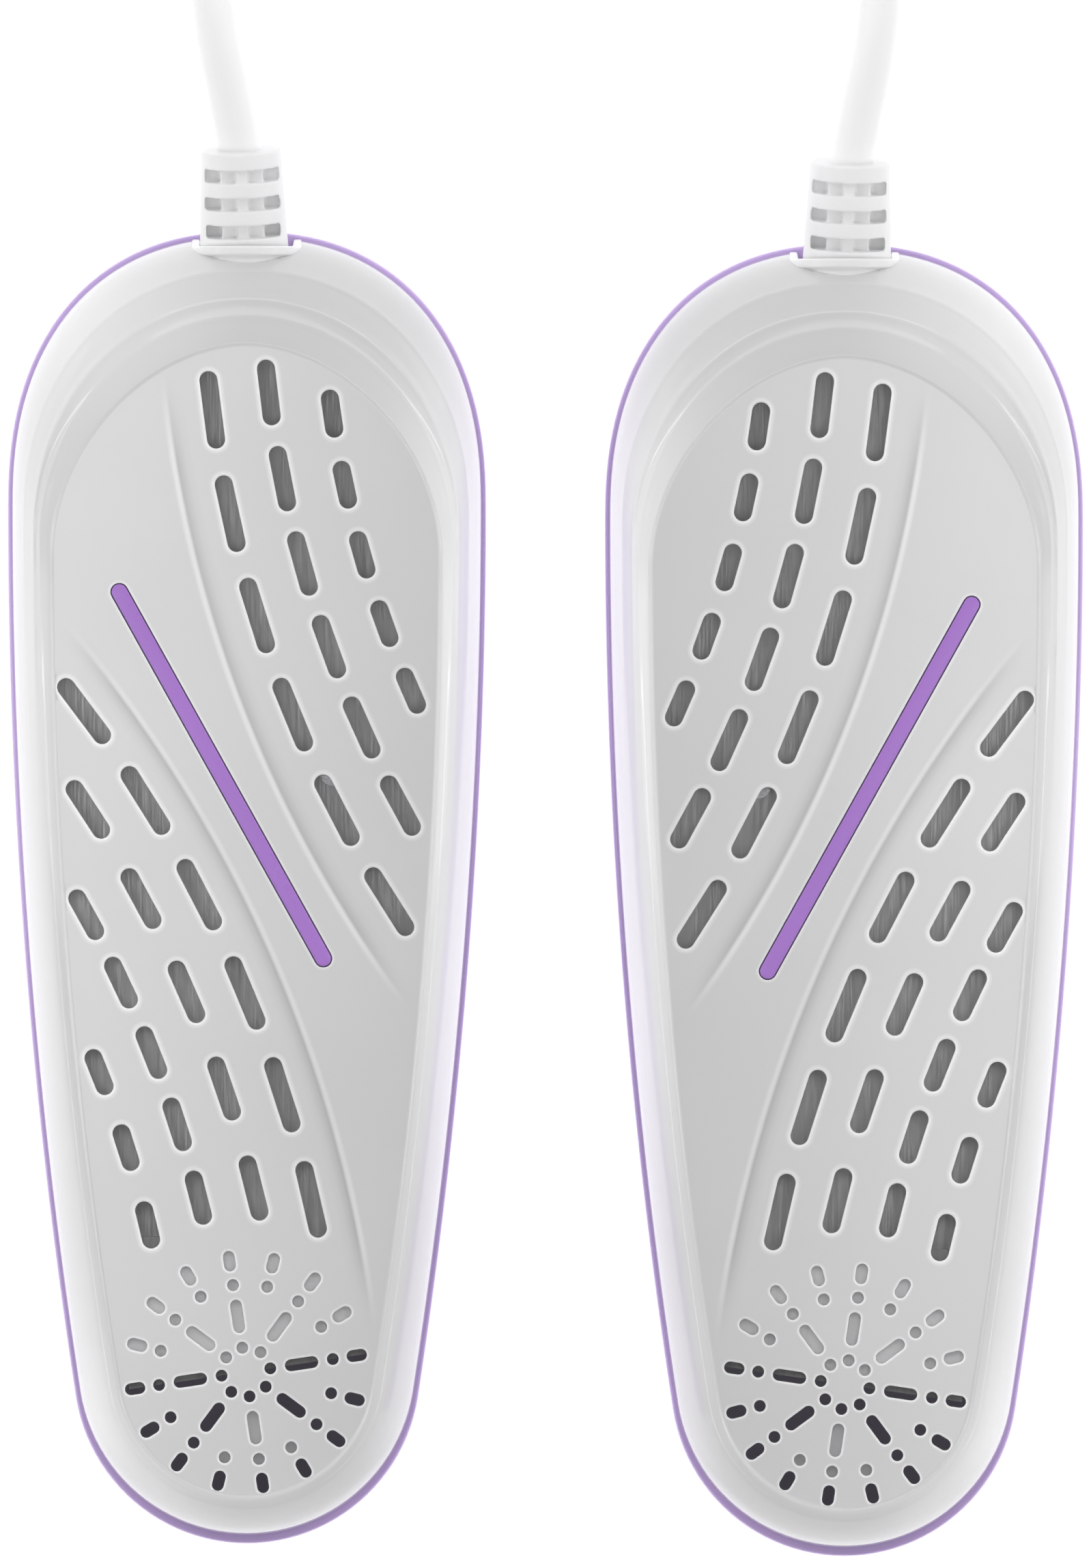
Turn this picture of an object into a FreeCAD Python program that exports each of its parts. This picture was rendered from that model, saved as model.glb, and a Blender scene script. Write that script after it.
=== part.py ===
import FreeCAD, Part
import math
import os
import Sketcher

# A pair of electric boot dryers, one for each boot, on one plug. Each unit is a shoe-shaped case of two
# shells that rests on its lower shell, with a heater under the vents of the upper shell, and a round mains
# lead that leaves the heel through a ribbed strain relief. Both leads end in one flat plug.
#
# Row frame: +Y towards the heels and the leads, +Z up, origin on the resting plane midway between the units.
# Unit frame: the same axes, with its origin under the middle of one unit. The left unit is drawn, and the
# right unit is its mirror image.

V = FreeCAD.Vector
doc = FreeCAD.newDocument("boot_dryer")

# ------------------------------------------------------------------------------------ driving dimensions

DIMENSIONS = [
    ("unit_length", 160.4, "length of one unit over the lower shell"),
    ("unit_width", 58.5, "width of one unit at the heel"),
    ("unit_height", 31.0, "height of one unit"),
    ("unit_pitch", 73.0, "spacing of the two units' centre lines"),
    ("unit_stagger", 1.54, "how much further back the left unit lies than the right"),
    ("widest_y", 46.7, "where the unit is widest"),
    ("toe_radius", 21.2, "radius of the toe seen from above"),
    ("heel_power", 2.3, "superellipse power of the heel at the parting line"),
    ("parting_z", 14.0, "top of the lower shell"),
    ("belly_z", 12.5, "height at which the lower shell is widest"),
    ("shell_gap", 0.25, "shadow gap between the shells"),
    ("shell_wall", 2.0, "wall of both shells"),
    ("upper_side_inset", 0.55, "upper shell inside the lower one at the sides"),
    ("upper_toe_inset", 1.1, "upper shell inside the lower one at the toe"),
    ("upper_heel_inset", 0.7, "upper shell inside the lower one at the heel"),
    ("panel_side_inset", 5.25, "flat top panel inside the outline at the sides"),
    ("panel_toe_inset", 5.7, "flat top panel inside the outline at the toe"),
    ("panel_heel_inset", 13.7, "flat top panel inside the outline at the heel"),
    ("panel_widest_y", 41.0, "where the top panel is widest"),
    ("panel_power", 1.85, "superellipse power of the panel's heel end"),
    ("panel_sink", 0.25, "the panel lies this deep inside its border"),
    ("field_sink", 0.45, "the vent fields lie this deep below the diagonal band"),
    ("floor_side_inset", 6.5, "flat underside inside the outline at the sides and the toe"),
    ("floor_heel_inset", 9.5, "flat underside inside the outline at the heel"),
    ("lip_depth", 1.6, "locating lip of the upper shell below the parting line"),
    ("vent_width", 2.2, "width of a long vent"),
    ("grille_y", -59.0, "centre of the round toe grille"),
    ("grille_turn", 8.5, "turn of the toe grille in degrees"),
    ("grille_hole", 1.45, "diameter of a round grille hole and width of a radial slot"),
    ("heel_field_x", 141.8, "centre of the heel vents' arcs"),
    ("heel_field_y", 76.9, "centre of the heel vents' arcs"),
    ("heel_crease_radius", 152.2, "edge of the heel vent field"),
    ("toe_field_x", -146.4, "centre of the toe vents' arcs"),
    ("toe_field_y", -73.6, "centre of the toe vents' arcs"),
    ("toe_crease_radius", 162.9, "edge of the toe vent field"),
    ("strip_x", -3.0, "middle of the accent strip"),
    ("strip_y", 13.7, "middle of the accent strip"),
    ("strip_turn", 119.1, "direction of the accent strip in degrees"),
    ("strip_length", 53.0, "accent strip over its round ends"),
    ("strip_width", 1.9, "width of the accent strip"),
    ("strip_gap", 0.12, "gap round the accent strip"),
    ("strip_depth", 1.6, "thickness of the accent strip"),
    ("lead_diameter", 5.25, "round two-core mains lead"),
    ("relief_length", 12.0, "ribbed part of the strain relief"),
    ("relief_base", 10.8, "diameter of the strain relief at the case"),
    ("relief_tip", 9.7, "diameter of the strain relief at its free end"),
    ("relief_y", 78.2, "base of the strain relief"),
    ("relief_z", 19.2, "height of the strain relief's axis at its base"),
    ("relief_tilt", 9.0, "upward tilt of the strain relief in degrees"),
    ("relief_turn", 1.8, "turn of the strain relief away from the other unit in degrees"),
    ("rib_pitch", 3.4, "spacing of the strain relief's windows"),
    ("window_length", 1.6, "length of one window along the strain relief"),
    ("window_width", 9.0, "width of one window"),
    ("collar_wall", 1.05, "rim of the upper shell round the strain relief"),
    ("plate_z", 24.6, "underside of the heat spreader"),
    ("plate_thickness", 1.0, "sheet of the heat spreader"),
    ("plate_reach", 0.7, "heat spreader beyond the panel's outline"),
    ("tab_margin", 1.5, "its toe tab inside the panel's outline"),
    ("tab_rise", 3.2, "step up to the heat spreader's toe tab"),
    ("tab_start_y", -43.5, "heel end of the toe tab"),
    ("heater_y", 14.0, "middle of the heater"),
    ("stone_length", 14.0, "length of one ceramic heating stone"),
    ("stone_width", 12.0, "width of one ceramic heating stone"),
    ("stone_thickness", 2.6, "thickness of one ceramic heating stone"),
    ("stone_pitch", 14.4, "spacing of the ceramic heating stones"),
    ("contact_thickness", 0.4, "brass contact plate"),
    ("film", 0.4, "insulating sleeve round the heater"),
    ("clip_sheet", 0.8, "steel of the heater clip"),
    ("clip_length", 20.0, "length of the heater clip"),
    ("fuse_diameter", 4.0, "thermal fuse"),
    ("fuse_length", 11.0, "body of the thermal fuse"),
    ("core_diameter", 1.9, "insulated core of the lead"),
    ("clamp_y", 63.5, "middle of the lead clamp"),
    ("clamp_length", 20.0, "lead clamp across the lead"),
    ("clamp_width", 6.0, "lead clamp along the lead"),
    ("clamp_height", 3.6, "lead clamp above its posts"),
    ("boss_radius", 3.5, "screw bosses of the case"),
    ("case_screw_radius", 1.25, "shank of a case screw"),
    ("case_head_radius", 2.6, "head of a case screw"),
    ("case_head_z", 6.0, "underside of a case screw's head above the resting plane"),
    ("case_head_height", 2.2, "head of a case screw"),
    ("small_screw_radius", 1.0, "shank of a small screw"),
    ("small_head_radius", 1.9, "head of a small screw"),
    ("small_head_height", 1.4, "head of a small screw"),
    ("coil_x", 38.7, "centre of each coil from the middle of the pair"),
    ("coil_y", 179.9, "centre of each coil"),
    ("coil_radius", 26.3, "mean radius of a coil's turns"),
    ("turn_pitch", 5.3, "spacing of the turns"),
    ("turns_across", 3, "turns side by side in a coil"),
    ("layers", 2, "layers of turns in a coil"),
    ("coil_z", 0.6, "underside of a coil, which lies on its tie"),
    ("tie_width", 5.0, "width of the tie"),
    ("tie_sheet", 0.45, "thickness of the tie"),
    ("plug_y", 230.0, "back of the plug's body"),
    ("plug_entry_z", 6.85, "height of the leads where they enter the plug"),
    ("plug_entry_x", 3.2, "each lead's distance from the plug's middle"),
    ("plug_length", 34.0, "body of the flat two-pin plug"),
    ("plug_width", 35.3, "width of the plug's face"),
    ("plug_height", 13.7, "height of the plug's face"),
    ("plug_tail", 16.0, "tapered sleeve round both leads behind the plug"),
    ("pin_spacing", 18.6, "spacing of the pins"),
    ("pin_diameter", 4.0, "diameter of a pin"),
    ("pin_length", 19.0, "length of a pin"),
    ("pin_sleeve", 10.0, "insulated length of a pin"),
]

sheet = doc.addObject("Spreadsheet::Sheet", "Sizes")
for row, (alias, value, meaning) in enumerate(DIMENSIONS, start=1):
    sheet.set(f"A{row}", meaning)
    sheet.set(f"B{row}", str(value))
    sheet.setAlias(f"B{row}", alias)
doc.recompute()


def size(alias):
    return float(getattr(sheet, alias))


# Rows of long vents on arcs round a field's centre: radius, first vent's angle, step, count, vent length.
HEEL_VENTS = [
    (147.1, 187.3, 5.0, 6, 9.5),
    (140.0, 186.8, 4.35, 6, 8.05),
    (132.7, 188.3, 3.8, 5, 5.9),
]
TOE_VENTS = [
    (158.4, 13.0, 4.78, 6, 9.5),
    (151.9, 14.1, 4.77, 5, 8.1),
    (145.1, 14.3, 3.67, 5, 6.73),
    (138.3, 13.6, 4.05, 3, 5.85),
]
# Rings of the toe grille: radius, count, length along the radius. A ring as long as it is wide has round holes.
GRILLE_RINGS = [(3.0, 8, 1.45), (6.85, 8, 4.1), (10.7, 16, 1.45), (13.65, 16, 2.5)]

CASE_BOSSES = [(1.5, -68.0), (-16.5, 58.5), (16.5, 58.5)]
PLATE_BOSSES = [(-15.5, 50.0), (14.3, -33.0)]
SECTION_ANGLES = [0, 14, 28, 42, 55, 67, 78, 90]

# ------------------------------------------------------------------------------------------- the outline


def superellipse(half_width, centre_y, depth, power, steps=16):
    """Points of the heel, from its right end over the back to its left end."""
    points = []
    for i in range(steps + 1):
        angle = math.pi * i / steps
        across, along = math.cos(angle), math.sin(angle)
        x = half_width * math.copysign(abs(across) ** (2 / power), across)
        points.append((x, centre_y + depth * abs(along) ** (2 / power)))
    return points


def outline(side, toe, heel, z, centre_y=None, power=None):
    """The unit's outline moved inwards by side, toe and heel: an arc round the toe, a long arc on each side,
    which leaves the heel straight along Y and meets the toe without a corner, and a superellipse heel."""
    centre_y = size("widest_y") if centre_y is None else centre_y
    power = size("heel_power") if power is None else power
    half = size("unit_width") / 2 - side
    radius = size("toe_radius") - side
    toe_y = -size("unit_length") / 2 + toe + radius
    reach = centre_y - toe_y
    long_radius = (reach**2 + half**2 - radius**2) / (2 * (half - radius))
    long_x = half - long_radius
    away = math.hypot(long_x, reach)
    touch = V(-long_x / away * radius, toe_y - reach / away * radius, z)
    middle_angle = -0.5 * math.atan2(centre_y - touch.y, touch.x - long_x)
    middle = V(long_x + long_radius * math.cos(middle_angle), centre_y + long_radius * math.sin(middle_angle), z)

    def left(point):
        return V(-point.x, point.y, point.z)

    depth = size("unit_length") / 2 - heel - centre_y
    heel_points = [V(x, y, z) for x, y in superellipse(half, centre_y, depth, power)]
    heel_curve = Part.BSplineCurve()
    heel_curve.interpolate(heel_points)
    toe_arc = Part.Arc(left(touch), V(0, toe_y - radius, z), touch)
    right_arc = Part.Arc(touch, middle, heel_points[0])
    left_arc = Part.Arc(heel_points[-1], left(middle), left(touch))
    return Part.Wire([toe_arc.toShape(), right_arc.toShape(), heel_curve.toShape(), left_arc.toShape()])


def flat_outline(side, toe, heel, z, height, **shape):
    """A straight prism on an outline."""
    return Part.Face(outline(side, toe, heel, z, **shape)).extrude(V(0, 0, height))


def panel_outline(inset, z, height):
    """A straight prism on the top panel's outline, moved inwards by inset."""
    insets = [size(f"panel_{end}_inset") + inset for end in ("side", "toe", "heel")]
    return flat_outline(*insets, z, height, centre_y=size("panel_widest_y"), power=size("panel_power"))


def upper_form(wall, lift=0.0, drop=0.0):
    """The upper shell's rounded form, made smaller all round by wall. A negative wall makes it larger."""
    base_z = size("parting_z") + size("shell_gap") - drop
    rise = size("unit_height") - wall - base_z + lift
    sections = []
    for angle in SECTION_ANGLES:
        share = 1 - math.cos(math.radians(angle))

        def between(start, end):
            return size(start) + (size(end) - size(start)) * share

        sections.append(
            outline(
                between("upper_side_inset", "panel_side_inset") + wall,
                between("upper_toe_inset", "panel_toe_inset") + wall,
                between("upper_heel_inset", "panel_heel_inset") + wall,
                base_z + rise * math.sin(math.radians(angle)),
                centre_y=between("widest_y", "panel_widest_y"),
                power=between("heel_power", "panel_power"),
            )
        )
    return Part.makeLoft(sections, True)


def lower_form(wall):
    """The lower shell's rounded form, from its rim over the belly to the flat underside."""
    belly, rim = size("belly_z"), size("parting_z")
    sections = [outline(wall + 0.12, wall + 0.12, wall + 0.12, rim), outline(wall, wall, wall, belly)]
    for angle in SECTION_ANGLES[1:]:
        share = 1 - math.cos(math.radians(angle))
        side = size("floor_side_inset") * share + wall
        heel = size("floor_heel_inset") * share + wall
        z = belly - (belly - wall) * math.sin(math.radians(angle))
        sections.append(outline(side, side, heel, z))
    return Part.makeLoft(sections, True)


# ---------------------------------------------------------------------------------------------- cutters


def stadium(x, y, turn, length, width, z, height):
    """An upright slot-shaped prism whose long way points along turn, in degrees."""
    radius = width / 2
    if length - width < 1e-6:
        return Part.makeCylinder(radius, height, V(x, y, z))
    half = length / 2 - radius
    body = Part.makeBox(2 * half, width, height, V(-half, -radius, 0))
    ends = [Part.makeCylinder(radius, height, V(end, 0, 0)) for end in (-half, half)]
    solid = body.fuse(ends).removeSplitter()
    solid.Placement = FreeCAD.Placement(V(x, y, z), FreeCAD.Rotation(V(0, 0, 1), turn))
    return solid


def vent_cutters(z, height):
    """Every long vent: each lies along its row's arc."""
    cutters = []
    for field, rows in (("heel_field", HEEL_VENTS), ("toe_field", TOE_VENTS)):
        centre_x, centre_y = size(f"{field}_x"), size(f"{field}_y")
        for radius, first, step, count, length in rows:
            for i in range(count):
                angle = first + step * i
                x = centre_x + radius * math.cos(math.radians(angle))
                y = centre_y + radius * math.sin(math.radians(angle))
                cutters.append(stadium(x, y, angle + 90, length, size("vent_width"), z, height))
    return cutters


def grille_cutters(z, height):
    """The toe grille's holes: rings of round holes and of slots that point at the centre."""
    cutters = []
    for radius, count, length in GRILLE_RINGS:
        for i in range(count):
            angle = size("grille_turn") + 360 / count * i
            x = radius * math.cos(math.radians(angle))
            y = size("grille_y") + radius * math.sin(math.radians(angle))
            cutters.append(stadium(x, y, angle, length, size("grille_hole"), z, height))
    return cutters


def relief_passage(half, z_axis, y, length):
    """A U-shaped passage, open downwards, for the strain relief."""
    arch = Part.makeCylinder(half, length, V(0, y, z_axis), V(0, 1, 0))
    legs = Part.makeBox(2 * half, length, z_axis, V(-half, y, 0))
    return arch.fuse(legs)


# ----------------------------------------------------------------------------------- nodes and placement

LEFT = {}
SHARED = {}


def bind(thing, **properties):
    """Binds properties to expressions in the sheet's aliases. Lengths of a primitive are given by name."""
    for name, expression in properties.items():
        thing.setExpression(name, expression)
    return thing


def expression_of(value):
    return value if isinstance(value, str) else str(value)


def at(thing, x="0", y="0", z="0"):
    """Binds where a primitive stands."""
    for axis, value in (("x", x), ("y", y), ("z", z)):
        thing.setExpression(f"Placement.Base.{axis}", expression_of(value))
    return thing


def turned(thing, axis, degrees):
    thing.Placement.Rotation = FreeCAD.Rotation(axis, degrees)
    return thing


def primitive(kind, name, position, **properties):
    return at(bind(doc.addObject(f"Part::{kind}", name), **properties), *position)


def box(name, length, width, height, position):
    return primitive("Box", name, position, Length=length, Width=width, Height=height)


def cylinder(name, radius, height, position, axis=None):
    made = doc.addObject("Part::Cylinder", name)
    bind(made, Radius=radius, Height=height)
    if axis is not None:
        made.Placement.Rotation = FreeCAD.Rotation(V(0, 0, 1), axis)
    return at(made, *position)


def cut(name, base, tool):
    made = doc.addObject("Part::Cut", name)
    made.Base, made.Tool = base, tool
    return made


def fuse(name, *shapes):
    made = doc.addObject("Part::MultiFuse", name)
    made.Shapes = list(shapes)
    return made


def group(name, *members):
    """Separate solids in one node."""
    made = doc.addObject("Part::Compound", name)
    made.Links = list(members)
    return made


def fixed(name, shape):
    made = doc.addObject("Part::Feature", name)
    made.Shape = shape
    return made


def in_unit(node, thing):
    """thing is a piece of one unit: it is moved to the left unit, and mirrored for the right one."""
    LEFT[node] = thing
    return thing


def shared(node, thing):
    SHARED[node] = thing
    return thing


def slot_body(name, length, width, height, x, y, z, turn):
    """A PartDesign body: a slot-shaped sketch, padded. All sizes are expressions."""
    body = doc.addObject("PartDesign::Body", name)
    sketch = body.newObject("Sketcher::SketchObject", name + "_sketch")
    plane = next(f for f in body.Origin.OriginFeatures if f.Role == "XY_Plane")
    sketch.AttachmentSupport = [(plane, "")]
    sketch.MapMode = "FlatFace"
    r, half = size("strip_width") / 2, size("strip_length") / 2 - size("strip_width") / 2
    right = sketch.addGeometry(Part.ArcOfCircle(Part.Circle(V(half, 0, 0), V(0, 0, 1), r), -math.pi / 2, math.pi / 2))
    left = sketch.addGeometry(Part.ArcOfCircle(Part.Circle(V(-half, 0, 0), V(0, 0, 1), r), math.pi / 2, -math.pi / 2))
    top = sketch.addGeometry(Part.LineSegment(V(half, r, 0), V(-half, r, 0)))
    low = sketch.addGeometry(Part.LineSegment(V(-half, -r, 0), V(half, -r, 0)))
    constraint = Sketcher.Constraint
    sketch.addConstraint(constraint("Tangent", right, 2, top, 1))
    sketch.addConstraint(constraint("Tangent", top, 2, left, 1))
    sketch.addConstraint(constraint("Tangent", left, 2, low, 1))
    sketch.addConstraint(constraint("Tangent", low, 2, right, 1))
    sketch.addConstraint(constraint("Horizontal", top))
    sketch.addConstraint(constraint("Symmetric", left, 3, right, 3, -1, 1))
    span = sketch.addConstraint(constraint("DistanceX", left, 3, right, 3, 2 * half))
    radius = sketch.addConstraint(constraint("Radius", right, r))
    sketch.setExpression(f"Constraints[{span}]", f"{length} - {width}")
    sketch.setExpression(f"Constraints[{radius}]", f"({width}) / 2")
    pad = body.newObject("PartDesign::Pad", name + "_pad")
    pad.Profile = sketch
    pad.setExpression("Length", height)
    body.Placement.Rotation = FreeCAD.Rotation(V(0, 0, 1), turn)
    return at(body, x, y, z)


# ------------------------------------------------------------------------------------------ case shells


def make_upper_shell():
    """White upper shell: rounded border, sunk panel with two lower vent fields, vents, toe grille, collar
    round the strain relief, screw bosses and the lip that locates it in the lower shell."""
    top, wall = size("unit_height"), size("shell_wall")
    skin = top - wall
    outer = upper_form(0)
    hollow = upper_form(wall, drop=1.0)
    panel = panel_outline(0.3, top - size("panel_sink"), 1.0)
    shell = outer.cut([hollow, panel])
    for field in ("heel", "toe"):
        disc = Part.makeCylinder(
            size(f"{field}_crease_radius"),
            1.0,
            V(size(f"{field}_field_x"), size(f"{field}_field_y"), top - size("panel_sink") - size("field_sink")),
        )
        shell = shell.cut(disc.common(panel_outline(2.2, top - 2, 3.0)))
    strip_slot = stadium(
        size("strip_x"),
        size("strip_y"),
        size("strip_turn"),
        size("strip_length") + 2 * size("strip_gap"),
        size("strip_width") + 2 * size("strip_gap"),
        top - size("panel_sink") - size("strip_depth"),
        2.0,
    )
    shell = shell.cut(vent_cutters(skin - 3, 9) + grille_cutters(skin - 3, 9) + [strip_slot])

    rim_z = size("parting_z")
    base_z = rim_z + size("shell_gap")
    radius, height = size("boss_radius"), skin - rim_z + 0.4
    bosses = [Part.makeCylinder(radius, height, V(x, y, rim_z)) for x, y in CASE_BOSSES[1:]]
    toe_x, toe_y = CASE_BOSSES[0]
    bosses.append(stadium(toe_x, toe_y, 0, 10.0, 8.0, rim_z, height))
    plate_top = size("plate_z") + size("plate_thickness")
    bosses += [Part.makeCylinder(2.6, skin - plate_top + 0.3, V(x, y, plate_top)) for x, y in PLATE_BOSSES]
    side, toe, heel = (size(f"upper_{end}_inset") for end in ("side", "toe", "heel"))
    lip_z = rim_z - size("lip_depth")
    lip = flat_outline(side + 1.75, toe + 1.75, heel + 1.75, lip_z, 3.4)
    lip = lip.cut(flat_outline(side + 2.6, toe + 2.6, heel + 2.6, lip_z - 1, 6))

    opening = size("relief_base") / 2 + 0.3
    rim = opening + size("collar_wall")
    frame = relief_passage(rim, size("relief_z"), size("relief_y") - 1.2, 1.2)
    frame = frame.fuse(relief_passage(opening + 0.5, size("relief_z"), size("relief_y") - 8, 7))
    bead = relief_passage(rim, size("relief_z"), size("relief_y") - 8, 16).common(upper_form(-0.35, lift=-0.35))
    collar = frame.fuse(bead).cut([upper_form(wall * 0.5, drop=3.0), Part.makeBox(80, 200, base_z, V(-40, 0, 0))])
    room = outer.fuse(flat_outline(side + 1.75, toe + 1.75, heel + 1.75, rim_z, 1.0))
    shell = shell.fuse([boss.common(room) for boss in bosses] + [lip, collar])
    shell = shell.cut(relief_passage(opening, size("relief_z"), size("relief_y") - 9, 30))

    pilot = size("case_screw_radius")
    for x, y in CASE_BOSSES:
        shell = shell.cut(Part.makeCylinder(pilot, 9.0, V(x, y, rim_z - 0.01)))
    for x, y in PLATE_BOSSES:
        shell = shell.cut(Part.makeCylinder(size("small_screw_radius"), 4.2, V(x, y, plate_top - 0.01)))
    return shell


def make_lower_shell():
    """Violet lower shell with a flat underside: intake vents, screw tubes, posts and a cradle for the lead."""
    wall, rim = size("shell_wall"), size("parting_z")
    form = lower_form(0)
    shell = form.cut(lower_form(wall))
    intakes = []
    for x in (-14, -7, 0, 7, 14):
        for y in range(-30, 45, 15):
            intakes.append(stadium(x, y, 90, 10.0, size("vent_width"), -1, wall + 2))
    shell = shell.cut(intakes)
    tubes = [Part.makeCylinder(size("boss_radius"), rim - 0.5, V(x, y, 0.5)) for x, y in CASE_BOSSES]
    post_top = size("relief_z") - 0.4
    posts = [
        Part.makeCylinder(2.7, post_top - 0.5, V(x, size("clamp_y"), 0.5)) for x in (-7.3, 7.3)
    ]
    cradle = Part.makeBox(14.6, 2.4, size("relief_z") - 1.2, V(-7.3, size("clamp_y") - 1.2, 0.5))
    heel_tab = Part.makeBox(11.0, 3.6, 7.5, V(-5.5, size("relief_y") - 3.4, rim - 3.0))
    shell = shell.fuse([tube.common(form) for tube in tubes] + posts + [cradle, heel_tab])
    shell = shell.cut(
        Part.makeCylinder(size("lead_diameter") / 2, 12, V(0, size("clamp_y") - 6, size("relief_z")), V(0, 1, 0))
    )
    seat = Part.makeCylinder(size("relief_base") / 2 + 0.2, 10, V(0, -5, 0), V(0, 1, 0))
    shell = shell.cut(along_relief(seat))
    for x, y in CASE_BOSSES:
        shell = shell.cut(Part.makeCylinder(size("case_head_radius") + 0.25, size("case_head_z") + 2.2, V(x, y, 0)))
        shell = shell.cut(Part.makeCylinder(size("case_screw_radius") + 0.3, 30, V(x, y, 0)))
    for x in (-7.3, 7.3):
        shell = shell.cut(
            Part.makeCylinder(size("small_screw_radius"), 9.0, V(x, size("clamp_y"), post_top - 8.0))
        )
    return shell


def along_relief(shape):
    """Puts a shape that is drawn along +Y from the strain relief's base in its turned and tilted place."""
    turn = FreeCAD.Rotation(V(0, 0, 1), size("relief_turn"))
    tilt = FreeCAD.Rotation(V(1, 0, 0), size("relief_tilt"))
    shape.Placement = FreeCAD.Placement(V(-0.3, size("relief_y"), size("relief_z")), turn.multiply(tilt))
    return shape


def make_strain_relief():
    """White ribbed strain relief: a cone with three rows of windows, above and below, round a square core with a
    web along it, and a flange inside the case. It is drawn along its own axis, then turned and tilted."""
    length, base, tip = size("relief_length"), size("relief_base") / 2, size("relief_tip") / 2
    y_axis = V(0, 1, 0)
    cone = Part.makeCone(base, tip, length, V(0, 0, 0), y_axis)
    core = Part.makeBox(5.2, length, 7.2, V(-2.6, 0, -3.6))
    web = Part.makeBox(1.3, length, 8.6, V(-0.65, 0, -4.3))
    floor = Part.makeBox(20, length, 3.2, V(-10, 0, -1.6))
    for i in range(3):
        start = 1.6 + size("rib_pitch") * i
        window = Part.makeBox(size("window_width"), size("window_length"), 20, V(-size("window_width") / 2, start, -10))
        cone = cone.cut(window.cut([core, web, floor]))
    neck = Part.makeCylinder(base, 6.0, V(0, -6.0, 0), y_axis)
    flange = Part.makeCylinder(base + 1.3, 2.4, V(0, -6.6, 0), y_axis)
    sleeve = Part.makeCylinder(4.3, 3.0, V(0, -8.6, 0), y_axis)
    return along_relief(cone.fuse([neck, flange, sleeve]).removeSplitter())


# ------------------------------------------------------------------------------------- inside the case


def make_heat_spreader():
    """Bent aluminium sheet under the vents, with a raised tab under the heel half of the toe grille."""
    thickness, z = size("plate_thickness"), size("plate_z")
    blank, tab_blank = panel_outline(-size("plate_reach"), 0, 40), panel_outline(size("tab_margin"), 0, 40)
    start = size("tab_start_y")
    main = Part.makeBox(80, 160, thickness, V(-40, start, z))
    tab_z = z + size("tab_rise")
    tab = Part.makeBox(80, 60, thickness, V(-40, start - 60 + thickness, tab_z))
    trim = Part.makeBox(120, 60, 40, V(-60, -60, 0))
    trim.Placement = FreeCAD.Placement(
        V(0, size("grille_y"), 0), FreeCAD.Rotation(V(0, 0, 1), size("grille_turn"))
    )
    riser = Part.makeBox(80, thickness, size("tab_rise") + thickness, V(-40, start, z))
    plate = main.common(blank).fuse(tab.cut(trim).fuse(riser).common(tab_blank))
    for x, y in PLATE_BOSSES:
        plate = plate.cut(Part.makeCylinder(size("small_screw_radius") + 0.15, 40, V(x, y, 0)))
    for x, y in CASE_BOSSES:
        plate = plate.cut(Part.makeCylinder(size("boss_radius") + 0.5, 40, V(x, y, 0)))
    for side in (-1, 1):
        plate = plate.cut(Part.makeCylinder(0.9, 40, V(side * CLIP_FOOT, size("heater_y"), 0)))
    return plate.removeSplitter()


CLIP_FOOT = 10.6


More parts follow.
